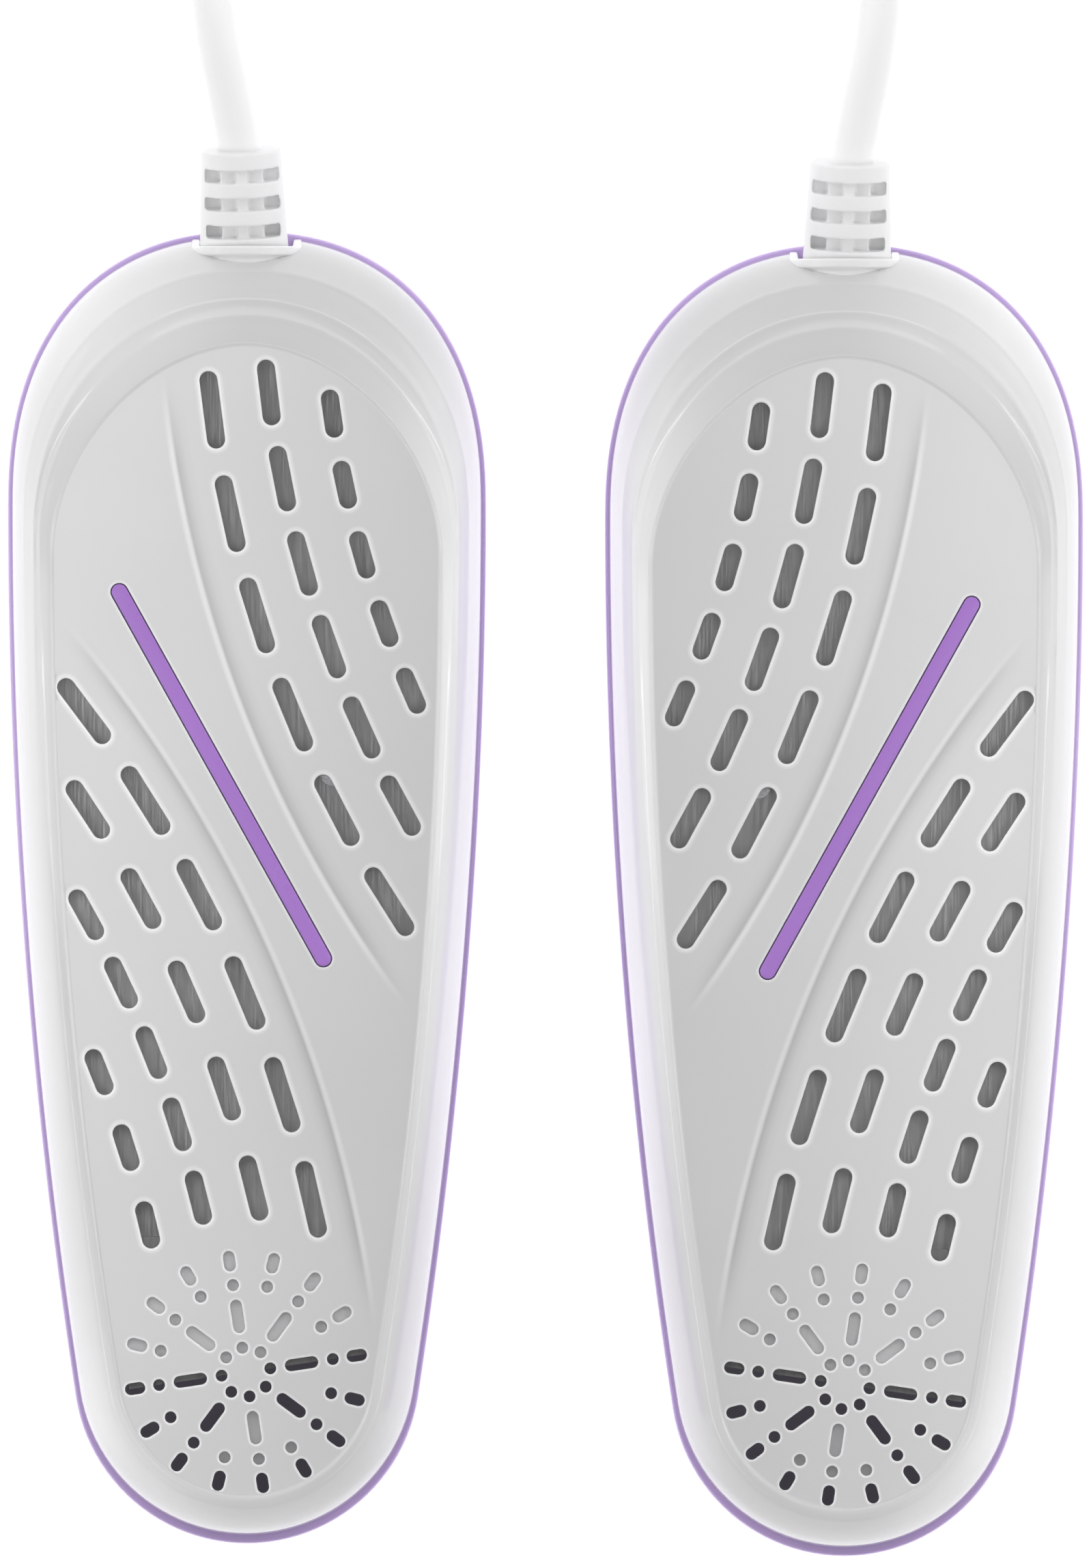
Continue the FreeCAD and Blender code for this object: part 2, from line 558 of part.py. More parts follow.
def make_heater():
    """Ceramic stones between two brass contact plates, in an insulating sleeve, held up by a steel clip."""
    middle = "Sizes.heater_y"
    sleeve_top = "Sizes.plate_z"
    stack_top = f"{sleeve_top} - Sizes.film"
    stones = [
        box(
            f"stone_{i}",
            "Sizes.stone_width",
            "Sizes.stone_length",
            "Sizes.stone_thickness",
            ("-Sizes.stone_width / 2", f"{middle} - Sizes.stone_length / 2 + {i - 1} * Sizes.stone_pitch",
             f"{stack_top} - Sizes.contact_thickness - Sizes.stone_thickness"),
        )
        for i in range(3)
    ]
    in_unit("heating_stones", group("heating_stones", *stones))

    run = "2 * Sizes.stone_pitch + Sizes.stone_length"
    contacts = []
    for name, z, tab_x, tab_y in (
        ("upper", f"{stack_top} - Sizes.contact_thickness", "-1.5", f"{middle} - ({run}) / 2 - 4.5"),
        ("lower", f"{stack_top} - 2 * Sizes.contact_thickness - Sizes.stone_thickness", "-5", f"{middle} + ({run}) / 2 - 0.5"),
    ):
        plate = box(f"contact_{name}_plate", "Sizes.stone_width", run, "Sizes.contact_thickness",
                    ("-Sizes.stone_width / 2", f"{middle} - ({run}) / 2", z))
        tab = box(f"contact_{name}_tab", "3", "5", "Sizes.contact_thickness", (tab_x, tab_y, z))
        contacts.append(fuse(f"contact_{name}", plate, tab))
    in_unit("contact_plates", group("contact_plates", *contacts))

    stack = "2 * Sizes.contact_thickness + Sizes.stone_thickness"
    outer = box("sleeve_outer", "Sizes.stone_width + 2 * Sizes.film", f"{run} + 1", f"{stack} + 2 * Sizes.film",
                ("-Sizes.stone_width / 2 - Sizes.film", f"{middle} - ({run}) / 2 - 0.5",
                 f"{sleeve_top} - ({stack}) - 2 * Sizes.film"))
    inner = box("sleeve_inner", "Sizes.stone_width", f"{run} + 4", stack,
                ("-Sizes.stone_width / 2", f"{middle} - ({run}) / 2 - 2", f"{stack_top} - ({stack})"))
    in_unit("insulating_sleeve", cut("insulating_sleeve", outer, inner))

    depth = f"{stack} + 2 * Sizes.film"
    strap = box("clip_strap", "Sizes.stone_width + 2 * Sizes.film + 2 * Sizes.clip_sheet", "Sizes.clip_length",
                f"{depth} + Sizes.clip_sheet",
                ("-Sizes.stone_width / 2 - Sizes.film - Sizes.clip_sheet", f"{middle} - Sizes.clip_length / 2",
                 f"{sleeve_top} - ({depth}) - Sizes.clip_sheet"))
    feet = box("clip_feet", "27", "8", "Sizes.clip_sheet", ("-13.5", f"{middle} - 4", f"{sleeve_top} - Sizes.clip_sheet"))
    room = box("clip_room", "Sizes.stone_width + 2 * Sizes.film", "Sizes.clip_length + 10", depth,
               ("-Sizes.stone_width / 2 - Sizes.film", f"{middle} - Sizes.clip_length / 2 - 5",
                f"{sleeve_top} - ({depth})"))
    clip = cut("clip_bent", fuse("clip_blank", strap, feet), room)
    holes = [
        cylinder(f"clip_hole_{i}", "0.9", "6", (f"{side * CLIP_FOOT}", middle, f"{sleeve_top} - 3"))
        for i, side in enumerate((-1, 1))
    ]
    in_unit("heater_clip", cut("heater_clip", clip, fuse("clip_holes", *holes)))

    rivets = []
    for i, side in enumerate((-1, 1)):
        place = f"{side * CLIP_FOOT}"
        shank = cylinder(f"rivet_shank_{i}", "0.9", "Sizes.clip_sheet + Sizes.plate_thickness",
                         (place, middle, f"{sleeve_top} - Sizes.clip_sheet"))
        low = cylinder(f"rivet_low_{i}", "1.6", "0.6", (place, middle, f"{sleeve_top} - Sizes.clip_sheet - 0.6"))
        high = cylinder(f"rivet_high_{i}", "1.6", "0.5", (place, middle, f"{sleeve_top} + Sizes.plate_thickness"))
        rivets.append(fuse(f"rivet_{i}", shank, low, high))
    in_unit("clip_rivets", group("clip_rivets", *rivets))


def rounded_path(points, share=0.45):
    """Straight runs joined by tangent arcs. Each arc's radius is share of its shorter run over the tangent of
    half the turn. Returns the path, its length and the radii."""
    points = [V(*p) for p in points]
    edges, radii, length = [], [], 0.0
    start = points[0]
    for before, corner, after in zip(points, points[1:], points[2:]):
        incoming, outgoing = corner - before, after - corner
        half_turn = incoming.getAngle(outgoing) / 2
        tangent = share * min(incoming.Length, outgoing.Length)
        radius = tangent / math.tan(half_turn)
        u, w = V(incoming).normalize(), V(outgoing).normalize()
        first, last = corner - u * tangent, corner + w * tangent
        inward = (w - u).normalize()
        centre = corner + inward * (radius / math.cos(half_turn))
        edges.append(Part.LineSegment(start, first).toShape())
        edges.append(Part.Arc(first, centre - inward * radius, last).toShape())
        length += (first - start).Length + radius * 2 * half_turn
        radii.append(radius)
        start = last
    edges.append(Part.LineSegment(start, points[-1]).toShape())
    length += (points[-1] - start).Length
    return Part.Wire(edges), length, radii


def tube(name, points, diameter):
    """A round tube along a rounded path. Its volume has to be its section times its length."""
    path, length, radii = rounded_path(points)
    heading = V(*points[1]) - V(*points[0])
    profile = Part.Wire([Part.makeCircle(diameter / 2, V(*points[0]), heading)])
    solid = path.makePipeShell([profile], True, False)
    share = solid.Volume / (math.pi * diameter**2 / 4 * length)
    shortest = min(radii) if radii else 0
    print(f"{name}: length {length:.1f}, tightest radius {shortest:.1f}, volume {share:.4f} of section times length")
    return solid


def make_wiring():
    """Sheathed end of the lead in its clamp, its two cores, the thermal fuse in the live core and the crimps."""
    y_axis, x_axis = V(0, 1, 0), V(1, 0, 0)
    start_y = size("clamp_y") - 7.0
    lead_z, core = size("relief_z"), size("core_diameter")
    in_unit(
        "inner_lead",
        cylinder("inner_lead", "Sizes.lead_diameter / 2", "Sizes.relief_y - Sizes.clamp_y - 2.2",
                 ("0", "Sizes.clamp_y - 7", "Sizes.relief_z"), y_axis),
    )
    run = 2 * size("stone_pitch") + size("stone_length")
    stack_top = size("plate_z") - size("film")
    low_tab_z = stack_top - 2 * size("contact_thickness") - size("stone_thickness")
    high_tab_z = stack_top - size("contact_thickness")
    low_tab_y = size("heater_y") + run / 2 + 4.5
    high_tab_y = size("heater_y") - run / 2 - 2.6
    crimp, barrel = 1.3, 5.0
    neutral = [(-1.3, start_y - 0.2, lead_z), (-2.4, start_y - 5.5, lead_z - 0.1),
               (-3.5, low_tab_y + barrel, low_tab_z - crimp)]
    in_unit("neutral_core", fixed("neutral_core", tube("neutral core", neutral, core)))

    fuse_x, fuse_y, fuse_z = 11.5, 22.0, size("plate_z") - 4.2
    legs_end = fuse_y + size("fuse_length") + 3.5
    live = [(1.3, start_y - 0.2, lead_z), (3.4, start_y - 7.5, lead_z - 0.2), (10.6, start_y - 13.5, fuse_z),
            (fuse_x, legs_end, fuse_z)]
    in_unit("live_core", fixed("live_core", tube("live core", live, core)))
    body = cylinder("fuse_body", "Sizes.fuse_diameter / 2", "Sizes.fuse_length", (fuse_x, fuse_y, fuse_z), y_axis)
    legs = cylinder("fuse_legs", "0.5", "Sizes.fuse_length + 7", (fuse_x, fuse_y - 3.5, fuse_z), y_axis)
    in_unit("thermal_fuse", fuse("thermal_fuse", body, legs))
    crimp_z = high_tab_z - crimp
    back = [(fuse_x, fuse_y - 3.5, fuse_z), (fuse_x + 0.3, 6.0, fuse_z), (fuse_x, high_tab_y, crimp_z - 0.3),
            (2.6, high_tab_y, crimp_z)]
    in_unit("fused_core", fixed("fused_core", tube("fused core", back, core)))
    crimps = [
        cylinder("crimp_neutral", str(crimp), str(barrel), ("-3.5", low_tab_y, low_tab_z - crimp), y_axis),
        cylinder("crimp_live", str(crimp), str(barrel), (str(2.6 - barrel), high_tab_y, crimp_z), x_axis),
    ]
    in_unit("wire_crimps", group("wire_crimps", *crimps))


def make_clamp():
    """Plastic bar that holds the lead's sheath on its cradle, with its two screws."""
    post_top = "Sizes.relief_z - 0.4"
    bar = box("clamp_bar", "Sizes.clamp_length", "Sizes.clamp_width", "Sizes.clamp_height",
              ("-Sizes.clamp_length / 2", "Sizes.clamp_y - Sizes.clamp_width / 2", post_top))
    saddle = cylinder("clamp_saddle", "Sizes.lead_diameter / 2", "Sizes.clamp_width + 2",
                      ("0", "Sizes.clamp_y - Sizes.clamp_width / 2 - 1", "Sizes.relief_z"), V(0, 1, 0))
    holes = [
        cylinder(f"clamp_hole_{i}", "Sizes.small_screw_radius + 0.15", "10", (f"{x}", "Sizes.clamp_y", "Sizes.relief_z - 3"))
        for i, x in enumerate((-7.3, 7.3))
    ]
    in_unit("lead_clamp", cut("lead_clamp", bar, fuse("clamp_cuts", saddle, *holes)))
    in_unit("clamp_screws", screws("clamp_screw", [(x, size("clamp_y")) for x in (-7.3, 7.3)], "Sizes.small",
                                   "Sizes.relief_z - 0.4 + Sizes.clamp_height", "-10", downwards=True))


def screws(name, places, family, head_face, length, downwards=False):
    """A group of pan-head screws. head_face is the height of the face that each head bears on."""
    members = []
    for i, (x, y) in enumerate(places):
        head_z = head_face if downwards else f"{head_face} - {family}_head_height"
        shank_z = f"{head_face} + ({length})" if downwards else head_face
        reach = length.lstrip("-")
        head = cylinder(f"{name}_head_{i}", f"{family}_head_radius", f"{family}_head_height", (x, y, head_z))
        recess_z = f"{head_z} + {family}_head_height - 0.8" if downwards else head_z
        recess = cylinder(f"{name}_recess_{i}", f"{family}_head_radius * 0.45", "0.8", (x, y, recess_z))
        shank = cylinder(f"{name}_shank_{i}", f"{family}_screw_radius", reach, (x, y, shank_z))
        members.append(cut(f"{name}_{i}", fuse(f"{name}_solid_{i}", head, shank), recess))
    return group(name + "s", *members)


# ------------------------------------------------------------------------------- leads, coils and plug


def approach_route(side):
    """A lead's free stretch from its strain relief down to the floor and into its coil, in the row frame. Side is
    -1 for the left lead and 1 for the right one, whose strain relief lies further forward."""
    exit_x, exit_y, exit_z = relief_exit()
    behind = 0 if side < 0 else size("unit_stagger")
    floor_z = size("coil_z") + size("lead_diameter") / 2
    merge_x, merge_y = coil_point(-45)
    left = [
        (exit_x, exit_y - behind, exit_z),
        (-41.6, 111.8 - behind, 20.4),
        (-39.5, 129.0 - behind / 2, 9.0),
        (merge_x - 12.5, merge_y - 12.5, floor_z + 0.05),
        (merge_x, merge_y, floor_z),
    ]
    return [(-side * x, y, z) for x, y, z in left]


def tail_route():
    """The left lead's stretch from the top layer of its coil to the plug, in the row frame."""
    x, y = coil_point(0)
    top_z = size("coil_z") + size("lead_diameter") / 2 + size("turn_pitch")
    plug_x, plug_z = size("plug_entry_x"), size("plug_entry_z")
    tail_start = size("plug_y") - size("plug_tail")
    return [
        (x, y, top_z),
        (x + 0.2, y + 11.0, top_z - 0.5),
        (-plug_x - 0.3, tail_start - 11.5, plug_z - 0.25),
        (-plug_x, tail_start - 0.05, plug_z),
    ]


def coil_point(degrees):
    """A point on the outermost turn of the left coil."""
    radius = size("coil_radius") + size("turn_pitch")
    angle = math.radians(degrees)
    return (-size("coil_x") + radius * math.cos(angle), size("coil_y") + radius * math.sin(angle))


def relief_exit():
    """Where the left lead leaves its strain relief, in the row frame."""
    turn, tilt = math.radians(size("relief_turn")), math.radians(size("relief_tilt"))
    length = size("relief_length")
    x = -size("unit_pitch") / 2 - 0.3 - length * math.sin(turn) * math.cos(tilt)
    y = size("unit_stagger") / 2 + size("relief_y") + length * math.cos(turn) * math.cos(tilt)
    return (x, y, size("relief_z") + length * math.sin(tilt))


def make_lead():
    """Nodes of the leads, in the row frame. The coils and what follows are mirror images of each other."""
    inside = 3 * size("turn_pitch") / 2 + (size("lead_diameter") - size("turn_pitch")) / 2
    outer = cylinder("coil_outer", f"Sizes.coil_radius + {inside}", "Sizes.layers * Sizes.turn_pitch",
                     ("-Sizes.coil_x", "Sizes.coil_y", "Sizes.coil_z"))
    bore = cylinder("coil_bore", f"Sizes.coil_radius - {inside}", "Sizes.layers * Sizes.turn_pitch + 4",
                    ("-Sizes.coil_x", "Sizes.coil_y", "Sizes.coil_z - 2"))
    ring = cut("coil_ring", outer, bore)
    doc.recompute()
    rounded = doc.addObject("Part::Fillet", "lead_coil")
    rounded.Base = ring
    circles = [
        i for i, edge in enumerate(ring.Shape.Edges, start=1) if edge.isClosed() and isinstance(edge.Curve, Part.Circle)
    ]
    rounded.Edges = [(i, 2.5, 2.5) for i in circles]
    doc.recompute()
    diameter = size("lead_diameter")
    relief = make_strain_relief()
    relief.translate(V(-size("unit_pitch") / 2, size("unit_stagger") / 2, 0))
    left = tube("left lead to the coil", approach_route(-1), diameter).cut([rounded.Shape, relief])
    shared("lead_left", fixed("lead_left", left))
    relief.translate(V(0, -size("unit_stagger"), 0))
    across_row = V(1, 0, 0)
    middle = V(0, 0, 0)
    right = tube("right lead to the coil", approach_route(1), diameter)
    right = right.cut([rounded.Shape.mirror(middle, across_row), relief.mirror(middle, across_row)])
    shared("lead_right", fixed("lead_right", right))
    LEAD["lead_tail"] = fixed("lead_tail", tube("lead to the plug", tail_route(), diameter).cut(rounded.Shape))
    LEAD["lead_coil"] = rounded
    band = "Sizes.tie_sheet"
    play = 0.15
    across = f"2 * ({inside} + {play})"
    frame = box("tie_outer", "Sizes.tie_width", f"{across} + 2 * {band}", f"Sizes.layers * Sizes.turn_pitch + 2 * ({play} + {band})",
                ("-Sizes.coil_x - Sizes.tie_width / 2", f"Sizes.coil_y + Sizes.coil_radius - ({across}) / 2 - {band}",
                 f"Sizes.coil_z - {play} - {band}"))
    room = box("tie_inner", "Sizes.tie_width + 2", across, f"Sizes.layers * Sizes.turn_pitch + 2 * {play}",
               ("-Sizes.coil_x - Sizes.tie_width / 2 - 1", f"Sizes.coil_y + Sizes.coil_radius - ({across}) / 2",
                f"Sizes.coil_z - {play}"))
    LEAD["coil_tie"] = cut("coil_tie", frame, room)


LEAD = {}


def rounded_rectangle(width, height, radius, y, z):
    """A closed wire in a plane across Y, centred on x = 0."""
    half_w, half_h = width / 2 - radius, height / 2 - radius
    edges = []
    corners = [(half_w, half_h, 0), (-half_w, half_h, 90), (-half_w, -half_h, 180), (half_w, -half_h, 270)]
    ends = []
    for cx, cz, start in corners:
        points = [
            V(cx + radius * math.cos(math.radians(start + d)), y, z + cz + radius * math.sin(math.radians(start + d)))
            for d in (0, 45, 90)
        ]
        edges.append(Part.Arc(*points).toShape())
        ends.append((points[0], points[2]))
    for i in range(4):
        edges.append(Part.LineSegment(ends[i][1], ends[(i + 1) % 4][0]).toShape())
    order = [edges[0], edges[4], edges[1], edges[5], edges[2], edges[6], edges[3], edges[7]]
    return Part.Wire(order)


def make_plug():
    """Flat two-pin plug that lies on the floor, with one tapered sleeve round both leads."""
    back, length = size("plug_y"), size("plug_length")
    width, height, z = size("plug_width"), size("plug_height"), size("plug_entry_z")
    sections = [(0.0, 19.0, 11.0, 4.5), (0.3, 26.0, 12.6, 5.2), (0.62, 33.5, 13.5, 5.6), (1.0, width, height, 5.8)]
    body = Part.makeLoft(
        [rounded_rectangle(w, h, r, back + length * share, z) for share, w, h, r in sections], True, True
    )
    tail = size("plug_tail")
    sleeve = Part.makeLoft(
        [rounded_rectangle(13.4, 7.2, 3.5, back - tail, z), rounded_rectangle(15.6, 9.2, 4.4, back, z)], True
    )
    for i in range(3):
        y = back - tail + 3.2 + 4.2 * i
        groove = Part.makeBox(30, 1.5, 20, V(-15, y, z - 10))
        waist = Part.makeLoft([rounded_rectangle(12.2 + 0.6 * i, 6.0 + 0.5 * i, 2.9, y + s, z) for s in (-0.5, 2.0)], True)
        sleeve = sleeve.cut(groove.cut(waist))
    shared("plug_body", fixed("plug_body", body.fuse(sleeve)))
    face = "Sizes.plug_y + Sizes.plug_length"
    pins, sleeves = [], []
    for i, side in enumerate(("-", "")):
        x = f"{side}Sizes.pin_spacing / 2"
        bare = cylinder(f"pin_bare_{i}", "Sizes.pin_diameter / 2", "Sizes.pin_length - Sizes.pin_sleeve - Sizes.pin_diameter / 2",
                        (x, f"{face} + Sizes.pin_sleeve", "Sizes.plug_entry_z"), V(0, 1, 0))
        tip = primitive("Sphere", f"pin_tip_{i}", (x, f"{face} + Sizes.pin_length - Sizes.pin_diameter / 2", "Sizes.plug_entry_z"),
                        Radius="Sizes.pin_diameter / 2")
        root = cylinder(f"pin_root_{i}", "Sizes.pin_diameter / 2 - 0.5", "Sizes.pin_sleeve",
                        (x, face, "Sizes.plug_entry_z"), V(0, 1, 0))
        pins.append(fuse(f"pin_{i}", bare, tip, root))
        skin = cylinder(f"pin_skin_{i}", "Sizes.pin_diameter / 2", "Sizes.pin_sleeve",
                        (x, face, "Sizes.plug_entry_z"), V(0, 1, 0))
        hole = cylinder(f"pin_skin_hole_{i}", "Sizes.pin_diameter / 2 - 0.5", "Sizes.pin_sleeve + 2",
                        (x, f"{face} - 1", "Sizes.plug_entry_z"), V(0, 1, 0))
        sleeves.append(cut(f"pin_sleeve_{i}", skin, hole))
    shared("plug_pins", group("plug_pins", *pins))
    shared("pin_sleeves", group("pin_sleeves", *sleeves))


# ------------------------------------------------------------------------------------------- assembly

in_unit("upper_shell", fixed("upper_shell", make_upper_shell()))
in_unit("lower_shell", fixed("lower_shell", make_lower_shell()))
in_unit("strain_relief", fixed("strain_relief", make_strain_relief()))
in_unit("heat_spreader", fixed("heat_spreader", make_heat_spreader()))
in_unit(
    "accent_strip",
    slot_body("accent_strip", "Sizes.strip_length", "Sizes.strip_width", "Sizes.strip_depth", "Sizes.strip_x",
              "Sizes.strip_y", "Sizes.unit_height - Sizes.panel_sink - Sizes.strip_depth", size("strip_turn")),
)
make_heater()
make_wiring()
make_clamp()
in_unit("case_screws", screws("case_screw", CASE_BOSSES, "Sizes.case", "Sizes.case_head_z + 2.2", "14"))
in_unit("plate_screws", screws("plate_screw", PLATE_BOSSES, "Sizes.small", "Sizes.plate_z", "4.8"))
make_lead()
make_plug()
doc.recompute()

nodes = dict(SHARED)
for node, thing in {**LEFT, **LEAD}.items():
    if node in LEFT:
        left = doc.addObject("Part::Compound", node + "_left")
        left.Links = [thing]
        at(left, "-Sizes.unit_pitch / 2", "Sizes.unit_stagger / 2")
    else:
        left = thing
    right = doc.addObject("Part::Mirroring", node + "_right")
    right.Source = left
    right.Base, right.Normal = V(0, 0, 0), V(1, 0, 0)
    if node in LEFT:
        right.setExpression("Placement.Base.y", "-Sizes.unit_stagger")
    nodes[node + "_left"] = left
    nodes[node + "_right"] = right
doc.recompute()

for node, thing in nodes.items():
    thing.Label = node
failed = [o.Name for o in doc.Objects if {"Invalid", "Error"} & set(o.State)]
failed += [node for node, thing in nodes.items() if thing.Shape.isNull() or not thing.Shape.isValid()]
if failed:
    raise RuntimeError(f"these objects failed: {failed}")

os.makedirs("parts", exist_ok=True)
for node, thing in nodes.items():
    thing.Shape.exportStep(f"parts/{node}.step")
print(f"{len(nodes)} nodes written")
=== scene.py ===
import math
import bpy
from mathutils import Matrix, Vector
from mathutils.bvhtree import BVHTree
from mathutils.geometry import delaunay_2d_cdt


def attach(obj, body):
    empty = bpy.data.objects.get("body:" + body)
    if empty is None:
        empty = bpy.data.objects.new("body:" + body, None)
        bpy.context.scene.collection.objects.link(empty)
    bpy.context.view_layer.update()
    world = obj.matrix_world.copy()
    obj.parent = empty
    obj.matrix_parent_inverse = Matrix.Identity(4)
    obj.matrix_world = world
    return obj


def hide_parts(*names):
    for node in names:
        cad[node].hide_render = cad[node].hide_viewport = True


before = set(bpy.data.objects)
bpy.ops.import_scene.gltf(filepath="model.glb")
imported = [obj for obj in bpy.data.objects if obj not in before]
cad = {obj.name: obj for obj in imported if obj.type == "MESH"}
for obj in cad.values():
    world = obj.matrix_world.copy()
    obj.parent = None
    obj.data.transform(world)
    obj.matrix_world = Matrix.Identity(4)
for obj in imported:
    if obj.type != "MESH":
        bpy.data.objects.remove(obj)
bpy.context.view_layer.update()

MM = 0.001
SHARP_FROM = 40  # degrees between two faces

# Sizes are in millimetres, in a unit's own frame: +Y to the heel, +Z up, origin under its middle. Every piece
# of a unit is made for the left unit, and its mirror image is the right unit's.
PITCH, STAGGER = 73.0, 1.54
HALF_WIDTH, HALF_LENGTH, TOE_RADIUS = 29.25, 80.2, 21.2
PARTING, BELLY_Z, TOP, SINK, WALL = 14.0, 12.5, 31.0, 0.25, 2.0
PANEL_Z = TOP - SINK
CEILING = TOP - WALL
# Each pair is the upper shell's value at the parting line and at the panel.
SIDE_INSET, TOE_INSET, HEEL_INSET = (0.55, 5.25), (1.1, 5.7), (0.7, 13.7)
WIDEST_Y, POWER = (46.7, 41.0), (2.3, 1.85)
# Faint steps round the heel: turn of the rounding, half width in degrees, and height.
RIDGES = ((48.0, 1.6, 0.17), (66.0, 2.4, 0.26), (76.0, 1.6, 0.11))
GRILLE_Y, GRILLE_TURN, GRILLE_HOLE, VENT_WIDTH = -59.0, 8.5, 1.45, 2.2
RELIEF_Z, RELIEF_LENGTH, PASSAGE = 19.2, 12, 5.7
CASE_BOSSES = ((1.5, -68.0), (-16.5, 58.5), (16.5, 58.5))


# ------------------------------------------------------------------------------------------- camera, lights

def look(obj, target):
    obj.rotation_euler = (Vector(target) - obj.location).to_track_quat("-Z", "Y").to_euler()


def make_camera():
    """Straight down, from far away, as each unit was photographed on its own."""
    data = bpy.data.cameras.new("camera")
    data.lens, data.sensor_width = 1000, 36
    data.clip_end = 50
    camera = bpy.data.objects.new("camera", data)
    frame_height, level = 191.3 * MM, 22 * MM
    camera.location = (0, 13.4 * MM, level + frame_height * data.lens / data.sensor_width)
    camera.rotation_euler = (0, 0, 0)
    bpy.context.collection.objects.link(camera)
    bpy.context.scene.camera = camera


def softbox(name, place, size, power, target):
    data = bpy.data.lights.new(name, "AREA")
    data.shape = "RECTANGLE"
    data.size, data.size_y = size
    data.energy = power
    light = bpy.data.objects.new(name, data)
    light.location = place
    bpy.context.collection.objects.link(light)
    look(light, target)


make_camera()


# --------------------------------------------------------------------------------------------- mesh making

class Solid:
    """Points in millimetres, and faces with a material number, from closed loops joined one to the next."""

    def __init__(self):
        self.points, self.faces, self.marks, self.tones = [], [], [], []

    def loop(self, points, tone=0.0):
        """Adds points. tone, one number or a list from -3 to 3, is painted light and shade that darkens or
        lightens the material there.
        """
        start = len(self.points)
        self.points += [tuple(p) for p in points]
        self.tones += tone if isinstance(tone, list) else [tone] * (len(self.points) - start)
        return list(range(start, len(self.points)))

    def bridge(self, first, second, mark=0):
        count = len(first)
        for i in range(count):
            j = (i + 1) % count
            self.faces.append((first[i], first[j], second[j], second[i]))
            self.marks.append(mark)

    def chain(self, loops, mark=0):
        for first, second in zip(loops, loops[1:]):
            self.bridge(first, second, mark)

    def fill(self, loop, mark=0, up=True):
        self.faces.append(tuple(loop) if up else tuple(reversed(loop)))
        self.marks.append(mark)

    def sheet(self, boundary, holes, height, mark=0, up=True, spots=(), lines=()):
        """Triangles inside a loop and outside the hole loops. spots and lines are more points, and rows of
        joined points with their tone, whose heights come from height(x, y)."""
        index, edges, regions = [], [], []
        for ring in [boundary, *holes]:
            start = len(index)
            index += ring
            regions.append(list(range(start, len(index))))
        for line, tones in [*lines, *[([spot], [0.0]) for spot in spots]]:
            start = len(index)
            for (x, y), tone in zip(line, tones):
                index += self.loop([(x, y, height(x, y))], tone)
            edges += [(i, i + 1) for i in range(start, len(index) - 1)]
        flat = [Vector(self.points[i][:2]) for i in index]
        made, _, faces, origin, _, face_origin = delaunay_2d_cdt(flat, edges, regions, 0, 1e-5)
        known = [index[where[0]] if where else self.loop([(p.x, p.y, height(p.x, p.y))])[0]
                 for p, where in zip(made, origin)]
        for face, where in zip(faces, face_origin):
            if list(where) == [0]:
                self.faces.append(tuple(known[i] for i in (face if up else reversed(face))))
                self.marks.append(mark)

    def object(self, name, materials):
        mesh = bpy.data.meshes.new(name)
        place = Vector((-PITCH / 2, STAGGER / 2, 0))
        mesh.from_pydata([(Vector(p) + place) * MM for p in self.points], [], self.faces)
        mesh.polygons.foreach_set("material_index", self.marks)
        mesh.attributes.new("tone", "FLOAT", "POINT").data.foreach_set("value", self.tones)
        for material in materials:
            mesh.materials.append(material)
        mesh.validate()
        mesh.shade_smooth()
        mesh.set_sharp_from_angle(angle=math.radians(SHARP_FROM))
        obj = bpy.data.objects.new(name, mesh)
        bpy.context.collection.objects.link(obj)
        return obj


def mirrored(obj, name):
    """The right unit's copy of a piece of the left unit."""
    mesh = obj.data.copy()
    mesh.transform(Matrix.Translation((0, -STAGGER * MM, 0)) @ Matrix.Diagonal((-1, 1, 1, 1)))
    mesh.flip_normals()
    copy = bpy.data.objects.new(name, mesh)
    bpy.context.collection.objects.link(copy)
    return copy


def stand_for(obj, node):
    """Puts an object on the row's body in place of a CAD node, if one is named."""
    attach(obj, "root")
    if node:
        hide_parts(node)


def both(left, base, node):
    """Puts a left piece and its mirror image in place of the CAD nodes of that name."""
    right = mirrored(left, base + "_right")
    stand_for(left, node + "_left" if node else None)
    stand_for(right, node + "_right" if node else None)


def applied(obj):
    """Replaces an object's mesh by the mesh that its modifiers make."""
    graph = bpy.context.evaluated_depsgraph_get()
    mesh = bpy.data.meshes.new_from_object(obj.evaluated_get(graph))
    obj.modifiers.clear()
    obj.data = mesh


def cut_away(obj, tool):
    """Cuts the tool's shape out of an object, and deletes the tool."""
    boolean = obj.modifiers.new("cut", "BOOLEAN")
    boolean.operation, boolean.solver, boolean.object = "DIFFERENCE", "EXACT", tool
    applied(obj)
    bpy.data.objects.remove(tool)


# ------------------------------------------------------------------------------------------------ the form

def smooth(t):
    t = min(max(t, 0), 1)
    return t * t * (3 - 2 * t)


def mixed(pair, share):
    return pair[0] + (pair[1] - pair[0]) * share


